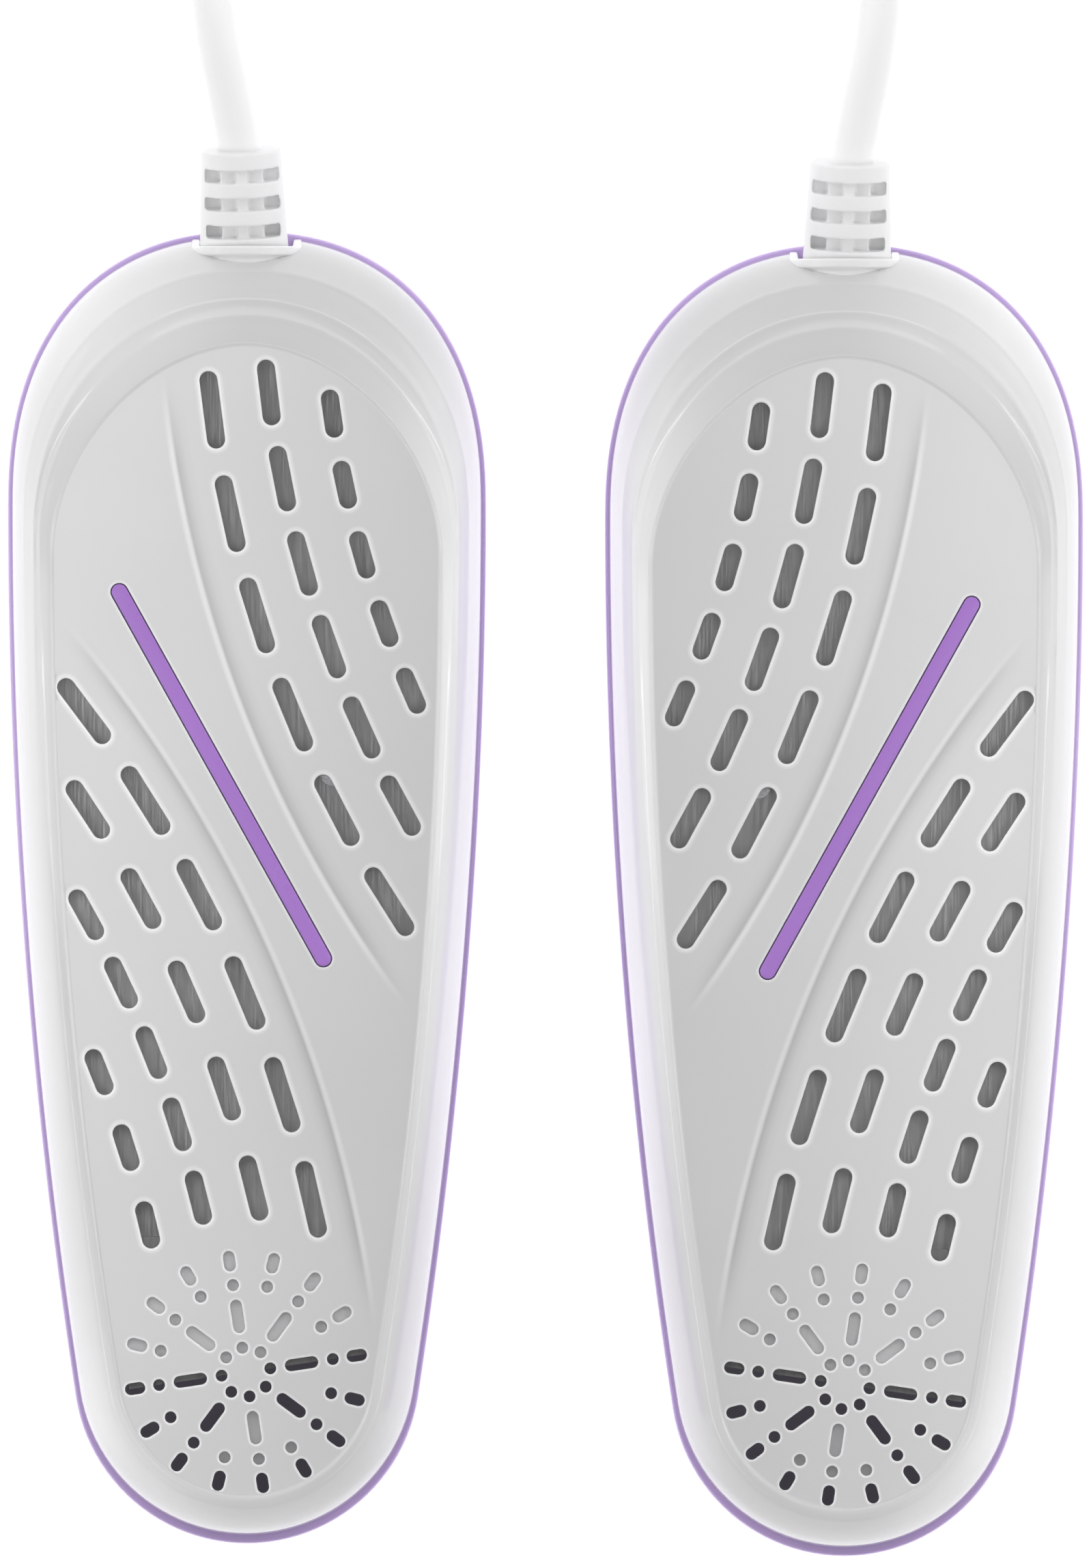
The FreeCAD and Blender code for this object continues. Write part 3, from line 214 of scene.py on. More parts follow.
def outline(side, toe, heel, centre_y=WIDEST_Y[0], power=POWER[0]):
    """The unit's outline moved inwards by side, toe and heel, from the tip of the toe round to the right."""
    toe_steps, side_steps, heel_steps = 24, 56, 36
    half, radius = HALF_WIDTH - side, TOE_RADIUS - side
    toe_y = -HALF_LENGTH + toe + radius
    reach = centre_y - toe_y
    long_radius = (reach ** 2 + half ** 2 - radius ** 2) / (2 * (half - radius))
    long_x = half - long_radius
    touch = math.atan2(-reach, -long_x)
    depth = HALF_LENGTH - heel - centre_y
    points = []
    for i in range(toe_steps):
        angle = -math.pi / 2 + (touch + math.pi / 2) * i / toe_steps
        points.append((radius * math.cos(angle), toe_y + radius * math.sin(angle)))
    for i in range(side_steps):
        angle = touch * (1 - i / side_steps)
        points.append((long_x + long_radius * math.cos(angle), centre_y + long_radius * math.sin(angle)))
    for i in range(heel_steps + 1):
        angle = math.pi / 2 * i / heel_steps
        across, along = max(math.cos(angle), 0) ** (2 / power), math.sin(angle) ** (2 / power)
        points.append((half * across, centre_y + depth * along))
    return points + [(-x, y) for x, y in points[-2:0:-1]]


def upper_ring(turn, inward=0.0, base=PARTING + SINK, top=TOP):
    """The upper shell's outline at a turn of its rounding, 0 at the parting line and 90 at the panel."""
    share = 1 - math.cos(math.radians(turn))
    ring = outline(mixed(SIDE_INSET, share) + inward, mixed(TOE_INSET, share) + inward,
                   mixed(HEEL_INSET, share) + inward, mixed(WIDEST_Y, share), mixed(POWER, share))
    z = base + (top - base) * math.sin(math.radians(turn))
    ridge = sum(rise * math.exp(-((turn - middle) / width) ** 2) for middle, width, rise in RIDGES)
    return [(x, y, z + ridge * smooth((y - 5) / 45)) for x, y in ring]


def shadow(turn):
    """Painted shade and light round a ring of the rounding: darker low down and at the toe, lighter along the
    inner side, where the other unit keeps off the light."""
    tones = []
    steep = 1 - 0.85 * smooth((turn - 30) / 50)
    for x, y, _ in upper_ring(turn):
        toe_half, before_heel = smooth((-y - 10) / 45), smooth((70 - y) / 30)
        low = (smooth(turn / 60) - 1) * (1 + 1.7 * smooth((-y - 35) / 40))
        inner_side = 1.7 * smooth((x - 14) / 10) * (1 - 1.1 * toe_half)
        outer_side = steep * smooth((-x - 14) / 10) * (0.4 + 0.9 * toe_half)
        heel = smooth((y - 52) / 20) * (0.8 * smooth((-x - 8) / 14) - 1.1 * smooth((x + 12) / 14))
        toe = smooth((-y - 50) / 20) * (smooth(-x / 12) - 0.5 * smooth(x / 12))
        tip = 2.4 * steep * smooth((-y - 64) / 9)
        lip = 0.7 * smooth((turn - 60) / 25) * toe_half
        tones.append(low + before_heel * (inner_side - outer_side) + heel + toe - tip + lip)
    return tones


def raised(ring, z):
    return [(x, y, z) for x, y, *_ in ring]


def heel_surface(x, z):
    """Where the heel of the upper shell lies at a distance from the middle and a height."""
    turn = math.asin(min(max((z - PARTING - SINK) / (TOP - PARTING - SINK), 0), 1))
    share = 1 - math.cos(turn)
    half, centre = HALF_WIDTH - mixed(SIDE_INSET, share), mixed(WIDEST_Y, share)
    depth = HALF_LENGTH - mixed(HEEL_INSET, share) - centre
    power = mixed(POWER, share)
    return centre + depth * (1 - min(abs(x) / half, 1) ** power) ** (1 / power)


def stadium(x, y, turn, length, width, grow=0.0, arc_steps=10):
    """A slot's outline, widened by grow, counterclockwise."""
    radius, half = width / 2 + grow, (length - width) / 2
    straight = max(int(2 * half / 1.2), 1) if half > 0.01 else 0
    outline_points = []
    for end in (1, -1):
        for i in range(arc_steps + 1 if straight else arc_steps):
            angle = -math.pi / 2 + math.pi * i / arc_steps
            outline_points.append((end * (half + radius * math.cos(angle)), end * radius * math.sin(angle)))
        for i in range(1, straight):
            outline_points.append((end * (half - 2 * half * i / straight), end * radius))
    turn = math.radians(turn)
    c, s = math.cos(turn), math.sin(turn)
    return [(x + c * u - s * v, y + s * u + c * v) for u, v in outline_points]


# Each vent field's centre, its crease's radius, first and last angle, and its rows of vents on arcs: radius,
# first angle, step, count and length.
HEEL_FIELD, HEEL_CREASE = (141.8, 76.9), (152.2, 185.05, 217.1)
TOE_FIELD, TOE_CREASE = (-146.4, -73.6), (162.9, 6.6, 40.7)
HEEL_VENTS = [(147.1, 187.3, 5.0, 6, 9.5), (140.0, 186.8, 4.35, 6, 8.05), (132.7, 188.3, 3.8, 5, 5.9)]
TOE_VENTS = [(158.4, 13.0, 4.78, 6, 9.5), (151.9, 14.1, 4.77, 5, 8.1), (145.1, 14.3, 3.67, 5, 6.73),
             (138.3, 13.6, 4.05, 3, 5.85)]
# The grille's rings: radius, count and length of a hole.
GRILLE = [(3.0, 8, GRILLE_HOLE), (6.85, 8, 4.1), (10.7, 16, GRILLE_HOLE), (13.65, 16, 2.5)]
# The accent strip's x, y, turn, length and width.
STRIP = (-3.0, 13.7, 119.1, 53.0, 1.9)


def vents():
    """Every vent as x, y, turn, length and width."""
    found = []
    for (centre_x, centre_y), rows in ((HEEL_FIELD, HEEL_VENTS), (TOE_FIELD, TOE_VENTS)):
        for radius, first, step, count, length in rows:
            for i in range(count):
                angle = math.radians(first + step * i)
                found.append((centre_x + radius * math.cos(angle), centre_y + radius * math.sin(angle),
                              first + step * i + 90, length, VENT_WIDTH))
    return found


def grille():
    """Every hole of the grille as x, y, turn, length and width."""
    found = []
    for radius, count, length in GRILLE:
        for i in range(count):
            turn = GRILLE_TURN + 360 / count * i
            angle = math.radians(turn)
            x, y = radius * math.cos(angle), GRILLE_Y + radius * math.sin(angle)
            found.append((x, y, turn, length, GRILLE_HOLE))
    return found


def crease_depth(x, y, field, crease):
    """Depth of a vent field: a step along its crease that fades towards both ends, then a slow rise."""
    dx, dy = x - field[0], y - field[1]
    radius, first, last = crease
    past = radius - math.hypot(dx, dy)
    if past < -1.0:
        return 0
    angle = math.degrees(math.atan2(dy, dx)) % 360
    ends = smooth((angle - first) / 5) * smooth((last - angle) / 5)
    return 0.5 * ends * smooth((past + 0.9) / 0.9) * (math.exp(-past / 9) if past > 0 else 1)


def panel_height(x, y):
    sunk = crease_depth(x, y, HEEL_FIELD, HEEL_CREASE) + crease_depth(x, y, TOE_FIELD, TOE_CREASE)
    return PANEL_Z - sunk


def crease_lines(field, crease, inside):
    """Rows of points along a crease, close together across it, with a painted highlight on the step and
    painted shade at its foot.
    """
    radius, first, last = crease
    count = int(math.radians(last - first) * radius / 1.3)
    rows = []
    # Tones: a painted highlight on the step's slope, painted shade at its foot and just past it.
    for offset, tone in ((-1.0, 0), (-0.8, 0.35), (-0.55, 0.9), (-0.3, 0.6), (-0.12, -0.4), (0.05, -1),
                         (0.4, -0.7), (1.1, -0.2), (2.0, 0)):
        row, tones = [], []
        for i in range(count + 1):
            degrees = first + (last - first) * i / count
            angle = math.radians(degrees)
            x = field[0] + (radius - offset) * math.cos(angle)
            y = field[1] + (radius - offset) * math.sin(angle)
            if inside(x, y):
                row.append((x, y))
                tones.append(tone * smooth((degrees - first) / 5) * smooth((last - degrees) / 5))
        rows.append((row, tones))
    return rows


def inside_ring(ring):
    """A test for points inside a closed outline that is convex."""
    pairs = [(ring[i][:2], ring[(i + 1) % len(ring)][:2]) for i in range(len(ring))]

    def test(x, y):
        return all((bx - ax) * (y - ay) - (by - ay) * (x - ax) > 0 for (ax, ay), (bx, by) in pairs)
    return test


def far_from(holes, x, y, gap):
    """Whether a point is further than gap from every hole."""
    for hx, hy, turn, length, width in holes:
        half = (length - width) / 2
        c, s = math.cos(math.radians(turn)), math.sin(math.radians(turn))
        along = min(max((x - hx) * c + (y - hy) * s, -half), half)
        if math.hypot(x - hx - along * c, y - hy - along * s) < width / 2 + gap:
            return False
    return True


def rim(solid, hole, radius, height, bottom, marks, steps, halo, closed=False):
    """A hole's rounded rim, with a painted highlight along its edge as wide as halo, and its wall down to
    bottom, with painted shade at its foot. Returns its outermost and its lowest loop."""
    arc_steps = 10 if hole[4] > GRILLE_HOLE else 8
    loops = []
    for i in range(steps + 1):
        away = radius * (1 - math.sin(math.pi / 2 * i / steps))
        drop = radius * (1 - math.cos(math.pi / 2 * i / steps))
        ring = stadium(*hole, away, arc_steps)
        # Painted highlight on the rounded edge.
        loops.append(solid.loop([(x, y, height(x, y) - drop) for x, y in ring], 0.8 if i == 0 else 1.4))
    loops.insert(0, solid.loop([(x, y, height(x, y)) for x, y in stadium(*hole, radius + halo, arc_steps)]))
    solid.chain(loops, marks[0])
    # Painted shade at the foot of the wall.
    low = solid.loop([(x, y, bottom) for x, y in stadium(*hole, 0, arc_steps)], -1.0)
    solid.bridge(loops[-1], low, marks[1])
    if closed:
        solid.fill(low, marks[1])
    return loops[0], low


def hex_spots(inside, keep, spacing):
    """Evenly spread points of a sheet."""
    spots = []
    rows = int(170 / (spacing * 0.866))
    for row in range(rows):
        y = -82 + row * spacing * 0.866
        for column in range(int(60 / spacing)):
            x = -30 + (column + (row % 2) / 2) * spacing
            if inside(x, y) and keep(x, y):
                spots.append((x, y))
    return spots


# ------------------------------------------------------------------------------------------------ materials

def nodes_of(name):
    material = bpy.data.materials.new(name)
    material.use_nodes = True
    tree = material.node_tree
    return material, tree, tree.nodes["Principled BSDF"]


def add(tree, kind, **inputs):
    """Adds a node. Values that name a socket set it, and a node's socket given instead is linked to it."""
    node = tree.nodes.new("ShaderNode" + kind)
    for name, value in inputs.items():
        name = name.replace("_", " ")
        if isinstance(value, bpy.types.NodeSocket):
            tree.links.new(value, node.inputs[name])
        elif name in node.inputs:
            node.inputs[name].default_value = value
        else:
            setattr(node, name.replace(" ", "_"), value)
    return node


def noise(tree, where, scale, detail=2.0, rough=0.5):
    node = add(tree, "TexNoise", Vector=where, Scale=scale, Detail=detail, Roughness=rough)
    return node.outputs["Fac"]


def ramp(tree, value, low, high, from_low=0.3, from_high=0.7):
    """A number or a colour that goes from low to high as value goes between its own limits."""
    if isinstance(low, (int, float)):
        node = add(tree, "MapRange", Value=value)
        limits = {"From Min": from_low, "From Max": from_high, "To Min": low, "To Max": high}
        for socket, number in limits.items():
            node.inputs[socket].default_value = number
        return node.outputs["Result"]
    node = tree.nodes.new("ShaderNodeValToRGB")
    tree.links.new(value, node.inputs["Fac"])
    node.color_ramp.elements[0].position, node.color_ramp.elements[0].color = from_low, (*low, 1)
    node.color_ramp.elements[1].position, node.color_ramp.elements[1].color = from_high, (*high, 1)
    return node.outputs["Color"]


def tint(colour, factor):
    return tuple(min(c * factor, 1) for c in colour)


def scaled(tree, colour, factor):
    return add(tree, "VectorMath", operation="SCALE", Vector=colour, Scale=factor).outputs["Vector"]


def calc(tree, operation, *terms):
    """The result of a Math node whose inputs are the terms, numbers or sockets."""
    node = add(tree, "Math", operation=operation)
    for place, term in zip(node.inputs, terms):
        if isinstance(term, bpy.types.NodeSocket):
            tree.links.new(term, place)
        else:
            place.default_value = term
    return node.outputs["Value"]


def plastic(name, colour, rough, grain=0.0, grain_scale=4000, vary=0.03, cloud=40, coat=0.0, wave=0.0,
            edges=0.0, fade=0.0, specks=0.0):
    """Moulded plastic: faint clouds of colour and gloss, fine grain and a slow waviness, both in millimetres.
    edges is how much a tone of 1, painted light, lightens it, fade how much painted light lightens it away
    from the other unit and painted shade darkens it next to it, and specks how dark its specks are."""
    material, tree, shader = nodes_of(name)
    where = add(tree, "TexCoord").outputs["Object"]
    patches = noise(tree, where, cloud, 3)
    shade = ramp(tree, patches, tint(colour, 1 - vary), tint(colour, 1 + vary))
    # Painted light and shade from the tone attribute.
    if edges:
        tone = add(tree, "Attribute", attribute_name="tone").outputs["Fac"]
        factor = ramp(tree, tone, 1 - 3 * edges, 1 + 3 * edges, -3, 3)
        shade = scaled(tree, shade, factor)
    # Painted light away from the other unit and painted shade next to it.
    if fade:
        across = add(tree, "SeparateXYZ", Vector=where).outputs["X"]
        factor = ramp(tree, calc(tree, "ABSOLUTE", across), 1 - fade, 1 + fade, 0.010, 0.064)
        shade = scaled(tree, shade, factor)
    if specks:
        cells = add(tree, "TexVoronoi", Vector=where, Scale=110.0)
        near = ramp(tree, cells.outputs["Distance"], 1.0, 0.0, 0.008, 0.02)
        draw = add(tree, "SeparateXYZ", Vector=cells.outputs["Color"]).outputs["X"]
        chosen = calc(tree, "LESS_THAN", draw, 0.12)
        factor = ramp(tree, calc(tree, "MULTIPLY", near, chosen), 1.0, 1.0 - specks, 0, 1)
        shade = scaled(tree, shade, factor)
    tree.links.new(shade, shader.inputs["Base Color"])
    smudges = noise(tree, where, cloud * 3, 5, 0.65)
    tree.links.new(ramp(tree, smudges, rough * 0.8, rough * 1.25), shader.inputs["Roughness"])
    shader.inputs["Coat Weight"].default_value = coat
    shader.inputs["Coat Roughness"].default_value = 0.05
    last = None
    for scale, distance in ((grain_scale, grain), (cloud * 1.5, wave)):
        if distance:
            height = noise(tree, where, scale, 2)
            bump = add(tree, "Bump", Height=height, Strength=1.0, Distance=distance * MM)
            if last:
                tree.links.new(last.outputs["Normal"], bump.inputs["Normal"])
            last = bump
    if last:
        tree.links.new(last.outputs["Normal"], shader.inputs["Normal"])
    return material


def tab_shade(tree, place, bright):
    """How bright the heat spreader is painted, as painted light and shade. Its raised tab is bright under the
    heel half of the grille, dark under the toe half, and grey outside the grille."""
    spot = add(tree, "SeparateXYZ", Vector=place)
    outward = calc(tree, "SUBTRACT", calc(tree, "ABSOLUTE", spot.outputs["X"]), PITCH / 2 * MM)
    shift = ramp(tree, spot.outputs["X"], -STAGGER / 2 * MM, STAGGER / 2 * MM, -MM, MM)
    heelward = calc(tree, "SUBTRACT", calc(tree, "ADD", spot.outputs["Y"], shift), GRILLE_Y * MM)
    flat = add(tree, "CombineXYZ", X=outward, Y=heelward).outputs["Vector"]
    away = add(tree, "VectorMath", operation="LENGTH", Vector=flat).outputs["Value"]
    near = ramp(tree, away, bright, 0.45, 16.6 * MM, 16.9 * MM)
    past = add(tree, "VectorMath", operation="DOT_PRODUCT", Vector=flat)
    turn = math.radians(GRILLE_TURN)
    past.inputs[1].default_value = (math.sin(turn), math.cos(turn), 0)
    dark = ramp(tree, past.outputs["Value"], 0.30, 1.0, 1.0 * MM, 1.2 * MM)
    change = calc(tree, "SUBTRACT", calc(tree, "MULTIPLY", near, dark), 1.0)
    raised_part = ramp(tree, spot.outputs["Z"], 0, 1, 25.8 * MM, 26.4 * MM)
    return calc(tree, "MULTIPLY_ADD", raised_part, change, 1.0)


def metal(name, colour, rough, brushed=(1, 1, 1), scale=1500, depth=0.004, raised=None):
    """Metal with fine lines, depth in millimetres, along the direction in which brushed is small. raised is
    how much brighter the heat spreader's tab is painted, as painted light."""
    material, tree, shader = nodes_of(name)
    place = add(tree, "TexCoord").outputs["Object"]
    lined = add(tree, "Mapping", Vector=place, Scale=brushed).outputs["Vector"]
    lines = noise(tree, lined, scale, 4, 0.7)
    patches = noise(tree, place, 90, 3)
    shade = ramp(tree, patches, tint(colour, 0.95), tint(colour, 1.03))
    if raised:
        shade = scaled(tree, shade, tab_shade(tree, place, raised))
    tree.links.new(shade, shader.inputs["Base Color"])
    tree.links.new(ramp(tree, lines, rough * 0.7, rough * 1.3), shader.inputs["Roughness"])
    bump = add(tree, "Bump", Height=lines, Strength=1.0, Distance=depth * MM)
    tree.links.new(bump.outputs["Normal"], shader.inputs["Normal"])
    shader.inputs["Metallic"].default_value = 1.0
    return material


# The gloss white takes painted light and shade from the tone attribute.
gloss = plastic("white_gloss", (0.79, 0.79, 0.795), 0.10, wave=0.01, vary=0.01, coat=0.35, edges=0.12)
gloss.node_tree.nodes["Principled BSDF"].inputs["Specular IOR Level"].default_value = 0.4
collar_gloss = plastic("collar_gloss", (0.90, 0.90, 0.905), 0.16, wave=0.01, vary=0.01, coat=0.2)
# The satin white takes painted light and shade from the tone attribute, and is painted lighter away from the
# other unit and darker next to it.
satin = plastic("white_satin", (0.78, 0.78, 0.785), 0.42, grain=0.006, grain_scale=5000, vary=0.015,
                edges=0.22, fade=0.12, specks=0.55)
inner = plastic("white_inside", (0.74, 0.74, 0.75), 0.6, grain=0.01, grain_scale=2000)
violet = plastic("violet_gloss", (0.66, 0.49, 0.88), 0.16, wave=0.01, vary=0.03)
violet_inner = plastic("violet_inside", (0.56, 0.51, 0.64), 0.6, grain=0.01, grain_scale=2000)
for inside in (inner, violet_inner):
    # A faint glow stands in for the light that bounces about inside the shells.
    sockets = inside.node_tree.nodes["Principled BSDF"].inputs
    sockets["Emission Color"].default_value = (1, 1, 1, 1)
    sockets["Emission Strength"].default_value = 0.018
accent = plastic("violet_accent", (0.46, 0.22, 0.71), 0.3, grain=0.003, vary=0.03)
# The flex takes painted shade in its recesses from the tone attribute.
flex = plastic("white_flex", (0.91, 0.91, 0.915), 0.4, grain=0.006, grain_scale=3500, vary=0.015, edges=0.11)
sheath = plastic("lead_sheath", (0.94, 0.94, 0.945), 0.33, grain=0.004, grain_scale=3000, vary=0.015,
                 wave=0.02)
moulding = plastic("plug_moulding", (0.88, 0.88, 0.885), 0.38, grain=0.012, grain_scale=2500, vary=0.02)
tie = plastic("tie_wrap", (0.75, 0.75, 0.77), 0.6, grain=0.02, grain_scale=1500, vary=0.04)
dark_sleeve = plastic("pin_insulation", (0.015, 0.015, 0.017), 0.45, grain=0.004)
film = plastic("insulating_film", (0.50, 0.24, 0.04), 0.3, wave=0.05, vary=0.1)
ceramic = plastic("heating_ceramic", (0.15, 0.15, 0.16), 0.7, grain=0.02, grain_scale=1500, vary=0.1)
brown = plastic("brown_core", (0.08, 0.03, 0.012), 0.35, grain=0.003, vary=0.06)
blue = plastic("blue_core", (0.012, 0.06, 0.32), 0.35, grain=0.003, vary=0.06)
clamp = plastic("clamp_plastic", (0.60, 0.60, 0.62), 0.45, grain=0.01, vary=0.02)
# The heat spreader's tab carries painted light and shade.
sheet_metal = metal("spreader_sheet", (0.74, 0.74, 0.745), 0.55, brushed=(1, 0.03, 1), scale=6000,
                    depth=0.001, raised=1.3)
brass = metal("contact_brass", (0.62, 0.44, 0.17), 0.3, brushed=(1, 0.05, 1))
steel = metal("zinc_steel", (0.52, 0.53, 0.55), 0.3)
dull = metal("dull_steel", (0.16, 0.16, 0.165), 0.6)
spring = metal("spring_steel", (0.40, 0.41, 0.43), 0.33, brushed=(0.05, 1, 1))
nickel = metal("plug_nickel", (0.70, 0.69, 0.66), 0.14, brushed=(1, 0.1, 1))
can = metal("fuse_can", (0.60, 0.60, 0.61), 0.25, brushed=(1, 0.05, 1))

PLAIN_NODES = {
    "heat_spreader": sheet_metal, "heating_stones": ceramic, "contact_plates": brass,
    "insulating_sleeve": film, "heater_clip": spring, "clip_rivets": steel, "thermal_fuse": can,
    "live_core": brown, "fused_core": brown, "neutral_core": blue, "wire_crimps": brass, "inner_lead": sheath,
    "lead_clamp": clamp, "clamp_screws": steel, "case_screws": steel, "plate_screws": dull, "coil_tie": tie,
    "plug_pins": nickel, "pin_sleeves": dark_sleeve,
}
for name, obj in cad.items():
    base = name.replace("_left", "").replace("_right", "")
    if base in PLAIN_NODES:
        obj.data.materials.clear()
        obj.data.materials.append(PLAIN_NODES[base])


# ------------------------------------------------------------------------------------- leads, coils and plug

COIL_X, COIL_Y, COIL_Z = 38.7, 179.9, 0.6
LEAD_D, TURN_PITCH, COIL_R, TURNS = 5.25, 5.3, 26.3, 6.125
PLUG_X, PLUG_Z, PLUG_TAIL_Y = 3.2, 6.85, 214.0


def relief_exit():
    """The end of the left strain relief, where its lead comes out."""
    turn, tilt = math.radians(1.8), math.radians(9.0)
    return (-PITCH / 2 - 0.3 - RELIEF_LENGTH * math.sin(turn) * math.cos(tilt),
            STAGGER / 2 + 78.2 + RELIEF_LENGTH * math.cos(turn) * math.cos(tilt),
            RELIEF_Z + RELIEF_LENGTH * math.sin(tilt))


def coil_points(steps=18):
    """Control points of the turns: three on the floor from the outside in, then three on top of them from the
    inside out, each moving over by a lead's thickness in its last fifth. The first and last are left out."""
    points = []
    total = int(TURNS * steps)
    for k in range(1, total):
        turns = TURNS * k / total
        layer, done = (0, turns) if turns < 3 else (1, turns - 3)
        moved = min(int(done) + smooth((done % 1 - 0.8) / 0.2), 2)
        wobble = 0.25 * math.sin(2.1 * k + layer)
        radius = COIL_R + TURN_PITCH * ((1 - moved) if layer == 0 else (moved - 1)) + wobble
        angle = math.radians(-45 + 360 * turns)
        lift = smooth((turns - 2.8) / 0.4)
        radius /= math.cos(math.pi / steps)
        z = COIL_Z + LEAD_D / 2 + TURN_PITCH * lift
        points.append((-COIL_X + radius * math.cos(angle), COIL_Y + radius * math.sin(angle), z))
    return points


def lead_points(side):
    """A lead's control points in metres, from 2 mm inside its strain relief to the plug."""
    exit_x, exit_y, exit_z = relief_exit()
    behind = 0 if side < 0 else STAGGER
    outer = COIL_R + TURN_PITCH
    merge_x, merge_y = -COIL_X + outer * math.sqrt(0.5), COIL_Y - outer * math.sqrt(0.5)
    low, high = COIL_Z + LEAD_D / 2, COIL_Z + LEAD_D / 2 + TURN_PITCH
    leave_x = -COIL_X + outer
    left = [
        (exit_x + 0.06, exit_y - behind - 1.98, exit_z - 0.31),
        (exit_x, exit_y - behind, exit_z),
        (-41.6, 111.8 - behind, 20.4),
        (-39.5, 129.0 - behind / 2, 9.0),
        (merge_x - 12.5, merge_y - 12.5, low + 0.05),
        (merge_x, merge_y, low),
        *coil_points(),
        (leave_x, COIL_Y, high),
        (leave_x + 0.2, COIL_Y + 11.0, high - 0.5),
        (-PLUG_X - 0.3, PLUG_TAIL_Y - 11.5, PLUG_Z - 0.25),
        (-PLUG_X, PLUG_TAIL_Y - 0.05, PLUG_Z),
    ]
    return [Vector((-side * x, y, z)) * MM for x, y, z in left]


def make_lead(side, end):
    """A lead from its strain relief to the plug, and the point where it starts."""
    name = "lead_line_" + end
    curve = bpy.data.curves.new(name, "CURVE")
    curve.dimensions = "3D"
    curve.bevel_depth, curve.bevel_resolution = LEAD_D / 2 * MM, 7
    curve.use_fill_caps = True
    points = lead_points(side)
    spline = curve.splines.new("NURBS")
    spline.points.add(len(points) - 1)
    for point, place in zip(spline.points, points):
        point.co = (*place, 1)
    spline.order_u = 3
    spline.use_endpoint_u = True
    spline.resolution_u = 8
    curve.materials.append(sheath)
    obj = bpy.data.objects.new(name, curve)
    bpy.context.collection.objects.link(obj)
    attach(obj, "root")
    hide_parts("lead_" + end, "lead_coil_" + end, "lead_tail_" + end)
    return obj, points[0]


def moulded(node, name, material, voxel):
    """A CAD node's shape with every edge rounded, as soft mouldings have."""
    obj = bpy.data.objects.new(name, cad[node].data.copy())
    bpy.context.collection.objects.link(obj)
    remesh = obj.modifiers.new("remesh", "REMESH")
    remesh.mode, remesh.voxel_size = "VOXEL", voxel * MM
    relax = obj.modifiers.new("relax", "SMOOTH")
    relax.factor, relax.iterations = 0.5, 4
    applied(obj)
    obj.data.materials.clear()
    obj.data.materials.append(material)
    obj.data.shade_smooth()
    # Writes painted shade into the tone attribute where the shape blocks light.
    sheltered(obj.data, 3.0)
    return obj


def sheltered(mesh, reach):
    """Writes each vertex's tone: 0 in the open, down to -1 where the shape itself blocks light from above."""
    tree = BVHTree.FromPolygons([v.co for v in mesh.vertices], [p.vertices for p in mesh.polygons])
    rays = [Vector((0, 0, 1))]
    for tilt, count in ((30, 4), (58, 6)):
        for i in range(count):
            turn = math.tau * (i + 0.5) / count
            flat = math.sin(math.radians(tilt))
            rays.append(Vector((flat * math.cos(turn), flat * math.sin(turn), math.cos(math.radians(tilt)))))
    tones = []
    for vertex in mesh.vertices:
        start = vertex.co + vertex.normal * 0.05 * MM
        met = 0
        if vertex.normal.z > -0.3:
            met = sum(tree.ray_cast(start, ray, reach * MM)[0] is not None for ray in rays)
        tones.append(-met / len(rays))
    mesh.attributes.new("tone", "FLOAT", "POINT").data.foreach_set("value", tones)


fine = 0.16
relief_left = moulded("strain_relief_left", "relief_left", flex, fine)
stand_for(relief_left, "strain_relief_left")
relief_right = moulded("strain_relief_right", "relief_right", flex, fine)
stand_for(relief_right, "strain_relief_right")
plug = moulded("plug_body", "plug", moulding, 0.3)
stand_for(plug, "plug_body")
for side, reliefs, end in ((-1, relief_left, "left"), (1, relief_right, "right")):
    lead, start = make_lead(side, end)


# ---------------------------------------------------------------------------------------------- upper shell

